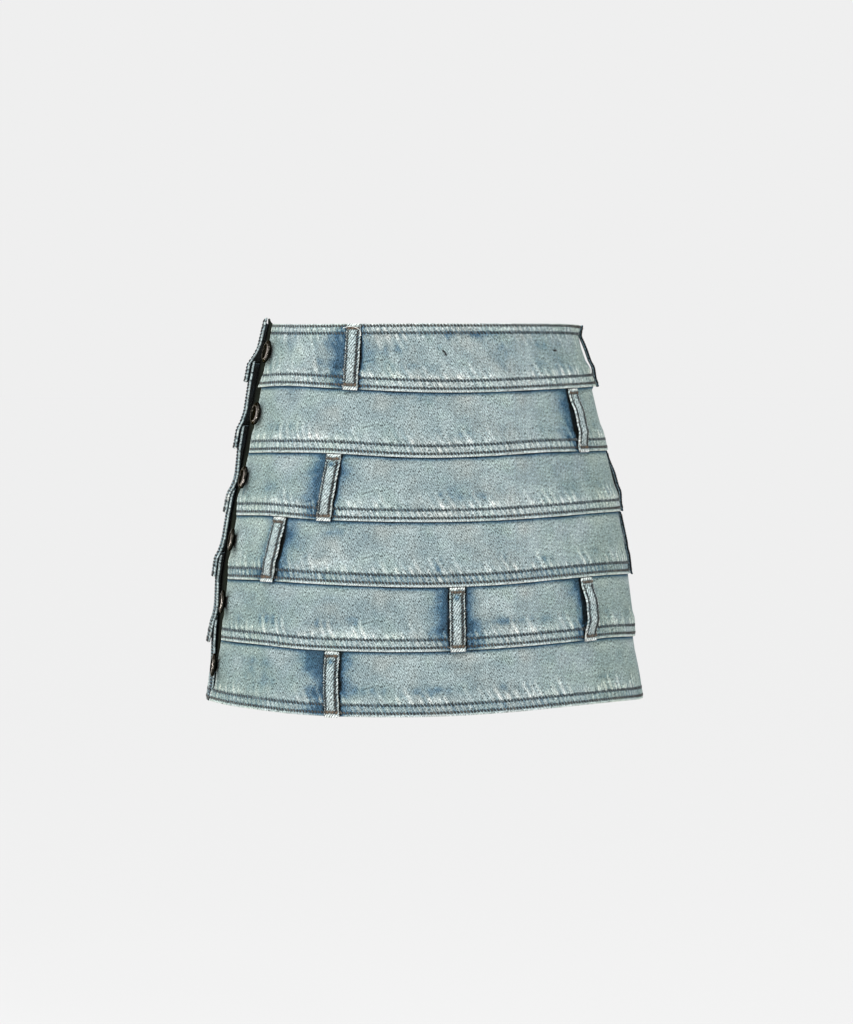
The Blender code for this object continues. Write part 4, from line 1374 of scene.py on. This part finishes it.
def sew_belt_loop(number, loop):
    """Two seams, two bar tacks and the fibres of the frayed edges, as one mesh of grains."""
    length = loop_length(loop)
    rng = np.random.default_rng(3000 + number)
    seam_rise = np.arange(6.0, length - 4.8, LOOP_PITCH)
    tack_across = np.arange(-5.3, 5.31, TACK_PITCH)
    fray_rise = rng.uniform(0.5, length - 0.5, FIBRES)
    kinds = []
    for edge in (-1.0, 1.0):
        inset, lean, width = (SEAM_INSETS[0], 0.7, 1.2) if edge < 0 else (SEAM_INSETS[1], 0.85, 1.45)
        across = edge * (LOOP_WIDTH / 2 - inset) + rng.uniform(-0.2, 0.2, len(seam_rise))
        long = rng.uniform(2.9, 3.8, len(seam_rise)) + (0.5 if edge > 0 else 0.0)
        kinds.append((seam_rise, across, 0.06, long, width, 0.9, lean, LOOP_THREAD))
        if edge < 0 and loop[0] in SHADE_PAINTED_EDGES:
            continue
        fray = edge * (LOOP_WIDTH / 2 + rng.uniform(-0.5, 0.15, FIBRES))
        long = rng.uniform(1.0, 2.3, FIBRES)
        kinds.append((fray_rise, fray, -0.55, long, 0.2, 0.2, None, EDGE_FIBRES))
    if loop[0] in PULLED_THREADS:
        places = np.array(PULLED_THREADS[loop[0]])
        number_at, at = np.arange(len(places)), np.linspace(0, 5, 18)
        across, drop = (curve_through(number_at, column, at) for column in places.T)
        turn = np.arctan2(np.sign(across) * np.gradient(across), -np.gradient(drop))
        kinds.append((length - drop, across, 0.9, 1.7, 0.55, 0.5, turn, EDGE_FIBRES))
    for at in (TACK_FROM_FOOT, length - TACK_FROM_TOP):
        rise = at + rng.uniform(-0.4, 0.4, len(tack_across))
        long = rng.uniform(2.2, 3.4, len(rise))
        kinds.append((rise, tack_across, 0.12, long, 0.8, 0.75, 0.2, TACK_THREAD))
    parts = []
    for index, (rise, across, out, size, width, height, lean, hexes) in enumerate(kinds):
        share = 1.0 - rise / length
        up, left, outward = loop_axes(loop, share, across)
        turn = rng.uniform(0.6, 2.5, len(rise)) if lean is None else lean + 0.0 * rise
        slant = slanted(up, np.sign(across)[:, None] * left, turn[:, None])
        if lean is None:
            slant = unit(slant + outward * rng.uniform(-0.5, 0.5, (len(rise), 1)))
        centres = loop_point(loop, share, across, out)
        full = np.ones(len(rise))
        colours = thread_colours(len(rise), hexes, 0.3, 4000 + 10 * number + index)
        parts.append((centres, slant, outward, full * size, full * width, full * height, colours))
    return stitches(f"sewing_{loop[0]}", *map(np.concatenate, zip(*parts)), thread)


loop_sewing = [sew_belt_loop(number, loop) for number, loop in enumerate(LOOPS)]
print("the loops' sewing:", sum(map(triangles, loop_sewing)), "triangles")

# %% [markdown]
# ## The dark button stand
#
# Behind the opening a strip of black overdyed denim carries the buttons. It hardly catches any light, so
# it needs only the right edges and a faint twill. Its top is cut on a slant: its outer end rises a little
# over the waist, and it slopes away behind the front.

# %% Making the button stand
STAND_FIRST, STAND_LAST = -88.0, -54.0
STAND_RISE, STAND_DIP, STAND_SLANT_END = 5.0, 4.0, -66.0
STAND_SHORT = 6.0  # mm above the hem
STAND_RADIUS, STAND_DROP = 150.0, 54.0  # about how far from the axis it lies, and how tall one level is
STAND_TUCK = 7.2  # how far it lies inside the hem
STAND_STEP, STAND_MIDDLE = 2.2, 46
STAND_FOOT = TIERS - STAND_SHORT / (CENTRE_HEIGHTS[-2] - CENTRE_HEIGHTS[-1])
BLACK_RAMP = ((0.0, "#565e55"), (0.35, "#31382f"), (0.6, "#1c211a"), (1.0, "#0b0d0a"))


def stand_places():
    """Levels and sizes of the stand's face: behind both layers where tiers lap, and straight in between."""
    places, sizes = [0.0], [half_sizes(1, 0.0) - STEP]
    for tier in range(1, TIERS):
        for place in (tier - LAP / (CENTRE_HEIGHTS[tier - 1] - CENTRE_HEIGHTS[tier]), float(tier)):
            places.append(place)
            sizes.append(half_sizes(tier, place) - 2 * STEP)
    places.append(float(TIERS))
    sizes.append(half_sizes(TIERS, float(TIERS)) - STAND_TUCK)
    return np.array(places), np.array(sizes)


def stand_point(level, angle, out):
    places, sizes = stand_places()
    level, angle, out = np.broadcast_arrays(level, angle, out)
    face = [np.interp(level, places, size) + out for size in sizes.T]
    return on_ring(face, angle, height_at(level, angle))


def make_stand():
    """A strip from 6 mm above the hem to the waist, whose top slopes down from its outer edge."""
    width = math.radians(STAND_LAST - STAND_FIRST) * STAND_RADIUS
    distance, thick = along_strip(width, STAND_STEP)
    share, offset, side = wall_section((2.5, 5.0), (5.0, 2.5), STAND_MIDDLE)
    angle = between(STAND_FIRST, STAND_LAST, distance / width)[:, None]
    top = np.interp(angle, (STAND_FIRST, STAND_SLANT_END), (-STAND_RISE, STAND_DIP)) / -CENTRE_HEIGHTS[1]
    length = STAND_DROP * (STAND_FOOT - top)
    rise = share * length + offset
    level = STAND_FOOT - rise / STAND_DROP
    out = -HALF + HALF * side * thick[:, None]
    points = stand_point(level, angle, out)
    run = distance[:, None] + 0.0 * rise
    dye = 0.62 + 0.10 * cloud(run, rise, 9.0, 8) - 0.25 * hill(np.minimum(run, width - run), 1.0)
    return strip_object("overdyed_button_stand", points, run, rise, dye, black_denim)


black_denim = denim("overdyed_black_denim", BLACK_RAMP, TWILL_SPACING, 0.3, 1.5, 1.6, 0.8, 0.2, gloss=0.0)
stand = make_stand()
print("stand:", triangles(stand), "triangles")

# %% [markdown]
# ## Jeans buttons
#
# A jeans button is a stamped brass cap, rolled over a tack: a rounded rim, a groove, and a shallow dish.
# The outline is drawn once, as a turner would draw it.

# %% The outline of a button
HEAD_THICK = 3.4
SHANK_RADIUS = 2.3
CAP = (
    # radius, below the top
    (0.0, 0.85), (1.6, 0.9), (3.4, 1.1), (4.6, 1.15), (5.3, 0.75), (5.9, 0.2), (6.6, 0.0), (7.4, 0.1),
    (7.9, 0.42), (8.3, 0.5), (8.8, 0.55), (9.3, 0.95), (9.65, 1.6), (9.7, 2.1), (9.5, 2.7), (9.0, 3.1),
    (8.2, 3.3), (5.5, 3.4),
)
TACK = ((5.2, 3.7), (5.0, 4.4), (4.2, 4.6), (2.6, 4.8))


def button_outline(top, tail):
    """The cap as a smooth curve through its places, then the tack and the shank, as radius and out."""
    cap = np.array(CAP)
    place = distances(cap)
    fine = np.linspace(0.0, place[-1], 44)
    cap = np.stack([curve_through(place, cap[:, i], fine) for i in range(2)], 1)
    outline = np.concatenate([cap, TACK])
    outline[:, 1] = top - outline[:, 1]
    return np.concatenate([outline, [(SHANK_RADIUS, -tail), (0.0, -tail)]])


print("a button's outline has", len(button_outline(HEAD_THICK, HEAD_THICK)), "places")

# %% [markdown]
# The brass was plated and then darkened, so it is nearly black in the grooves and copper brown where hands
# rub it. It is rougher in the grooves too, and glossier where the rim is rubbed. A pale band on the rim's
# outer slope, on the side that looks to the front, is a painted highlight.

# %% Antique copper
PATINA = 0.0015  # metres across a spot
COPPER_RAMP = ((0.0, "#0f0f0c"), (0.45, "#2c2b26"), (1.0, "#c6bdb6"))  # how rubbed or painted with highlight, colour

copper, tree = new_material("antique_copper_plate")
wear_and_highlight = add(tree, "ShaderNodeAttribute", attribute_name="wear_and_highlight")
place = add(tree, "ShaderNodeTexCoord")
links = [("Vector", place, "Object"), ("Scale", 1 / PATINA), ("Detail", 3.0)]
patina = add(tree, "ShaderNodeTexNoise", links)
rubbed = push(tree, wear_and_highlight, "Fac", patina, "Fac", 0.9)
tone = add(tree, "ShaderNodeValToRGB", [("Fac", rubbed, 0)], COPPER_RAMP)
rough = add(tree, "ShaderNodeMapRange", [("Value", rubbed, 0), ("To Min", 0.24), ("To Max", 0.13)])
dents = add(tree, "ShaderNodeBump", [("Height", patina, "Fac"), ("Distance", 0.08 * MM), ("Strength", 0.4)])
shader = add(
    tree, "ShaderNodeBsdfPrincipled",
    [("Base Color", tone, 0), ("Metallic", 1.0), ("Roughness", rough, 0), ("Normal", dents, 0),
     ("Specular Tint", (0.42, 0.41, 0.38, 1.0))],
)
add(tree, "ShaderNodeOutputMaterial", [("Surface", shader, 0)])
print("copper:", len(tree.nodes), "nodes")

# %% [markdown]
# Numpy turns the outline round its own axis, one ring of points for each place on it. The button is then
# tilted and set on its tier, with a shank just long enough to end before the stand.

# %% Turning the buttons
SHANK_END_GAP = 0.4  # between the shank's end and the stand
BUTTON_STEPS = 56
DISH_RADIUS, DISH_WORN = 4.8, 0.25


def make_button(tier, angle, turn, stand_off):
    """The outline turned in 56 steps, then tilted from the cloth's own direction and set on the tier.

    Wear is high on the rim and round its outer edge, and the pale band on the outer slope of the side
    that looks to the front (where the turn is 0) is a painted highlight.
    """
    level = float(level_of(tier, button_rise(tier), angle))
    normal = Vector(cloth_axes(tier, np.array(level), np.array(angle))[2])
    face = tier_point(tier, level, angle)
    tip = math.radians(turn)
    depth = float((face - stand_point(level, angle, 0.0)) @ np.array(normal))
    tail = (depth - SHANK_END_GAP - SHANK_RADIUS * math.sin(tip)) / math.cos(tip)
    top = stand_off + HEAD_THICK
    outline = button_outline(top, tail)
    turns = np.arange(BUTTON_STEPS) * 2 * math.pi / BUTTON_STEPS
    rings = outline[1:-1]
    wide, out = rings[:, None, 0], rings[:, None, 1]
    around = np.stack([wide * np.cos(turns), wide * np.sin(turns), out + 0 * turns], -1).reshape(-1, 3)
    points = np.concatenate([[(0.0, 0.0, outline[0, 1])], around, [(0.0, 0.0, outline[-1, 1])]])
    one = np.arange(BUTTON_STEPS)
    two = (one + 1) % BUTTON_STEPS
    starts = 1 + BUTTON_STEPS * np.arange(len(rings) - 1)[:, None]
    low, high = starts + one, starts + two
    quads = np.stack([low, low + BUTTON_STEPS, high + BUTTON_STEPS, high], -1).reshape(-1, 4)
    last, pairs = len(points) - 1, list(zip(one.tolist(), two.tolist()))
    faces = [(0, 1 + a, 1 + b) for a, b in pairs]
    faces += [(last, last - BUTTON_STEPS + b, last - BUTTON_STEPS + a) for a, b in pairs]
    tilt = Matrix.Rotation(-tip, 3, "Z") @ normal.to_track_quat("Z", "Y").to_matrix()
    points = points @ np.array(tilt).T + face
    made = link_mesh(f"turned_button_{tier}", points, quads.tolist() + faces, copper)
    ahead = np.clip(np.cos(turns + 0.1), 0.0, 1.0)
    # Wear round the outer rim, and a painted highlight on the outer slope of the side that looks to the
    # front.
    rim_wear_and_highlight = 0.35 * hill(wide - 9.2, 0.5) + 0.85 * ahead * hill(wide - 8.0, 0.9)
    rubbed = 0.6 * hill(wide - 6.7, 0.8) + rim_wear_and_highlight * (out > top - 2.0) + DISH_WORN * (wide < DISH_RADIUS)
    set_attribute(made.data, "wear_and_highlight", "FLOAT", np.concatenate([[DISH_WORN], rubbed.ravel(), [0.0]]))
    return made


buttons = [make_button(tier, angle, turn, stand_off) for tier, angle, _, turn, stand_off in BUTTONS]
print("buttons:", sum(map(triangles, buttons)), "triangles")

# %% [markdown]
# ## Attach and measure
#
# Each piece rides on the skirt's one body, and the CAD part that it stands for is hidden.
# Stitches are on no node of their own, so they only ride.

# %% Attaching each piece and hiding its CAD part
def register(piece, node):
    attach(piece, "root")
    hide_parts(node)


for (where, tier), piece in tiers.items():
    register(piece, f"{where}_tier_{tier}")
for loop, piece in zip(LOOPS, belt_loops):
    register(piece, loop[0])
for button, piece in zip(BUTTONS, buttons):
    register(piece, f"button_{button[0]}")
register(stand, "button_stand")
for piece in (*seams.values(), *loop_sewing):
    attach(piece, "root")
print(len(tiers) + len(belt_loops) + len(buttons) + 1, "pieces stand for the solids")

# %% [markdown]
# Each tier hangs from the one above and was cut flat: as long as it runs round the body, plus a fiftieth
# that the gathers take up, and as high as it shows and laps together. The loops are folded strips.

# %% The sizes the sheets were cut to
for (where, tier), piece in tiers.items():
    front_ends, back_ends = (front_edge(tier, tier - 0.5), SIDE_SEAM), (SIDE_SEAM, BACK_EDGE)
    first, last = front_ends if where == "front" else back_ends
    middle = (first + last) / 2
    high = float(shown_height(tier, middle) + hidden_height(tier, np.array(middle)))
for loop, piece, sewing in zip(LOOPS, belt_loops, loop_sewing):
    where = "front" if loop[2] < SIDE_SEAM else "back"
    flat = (LOOP_WIDTH * MM, loop_length(loop) * MM)
across = stand_point(TIERS / 2, np.linspace(STAND_FIRST, STAND_LAST, 40), 0.0)
down = stand_point(np.linspace(0.0, STAND_FOOT, 80), (STAND_FIRST + STAND_LAST) / 2, 0.0)
flat = [float(distances(line)[-1]) * MM for line in (across, down)]
print("button stand cut", [round(size / MM) for size in flat], "mm")
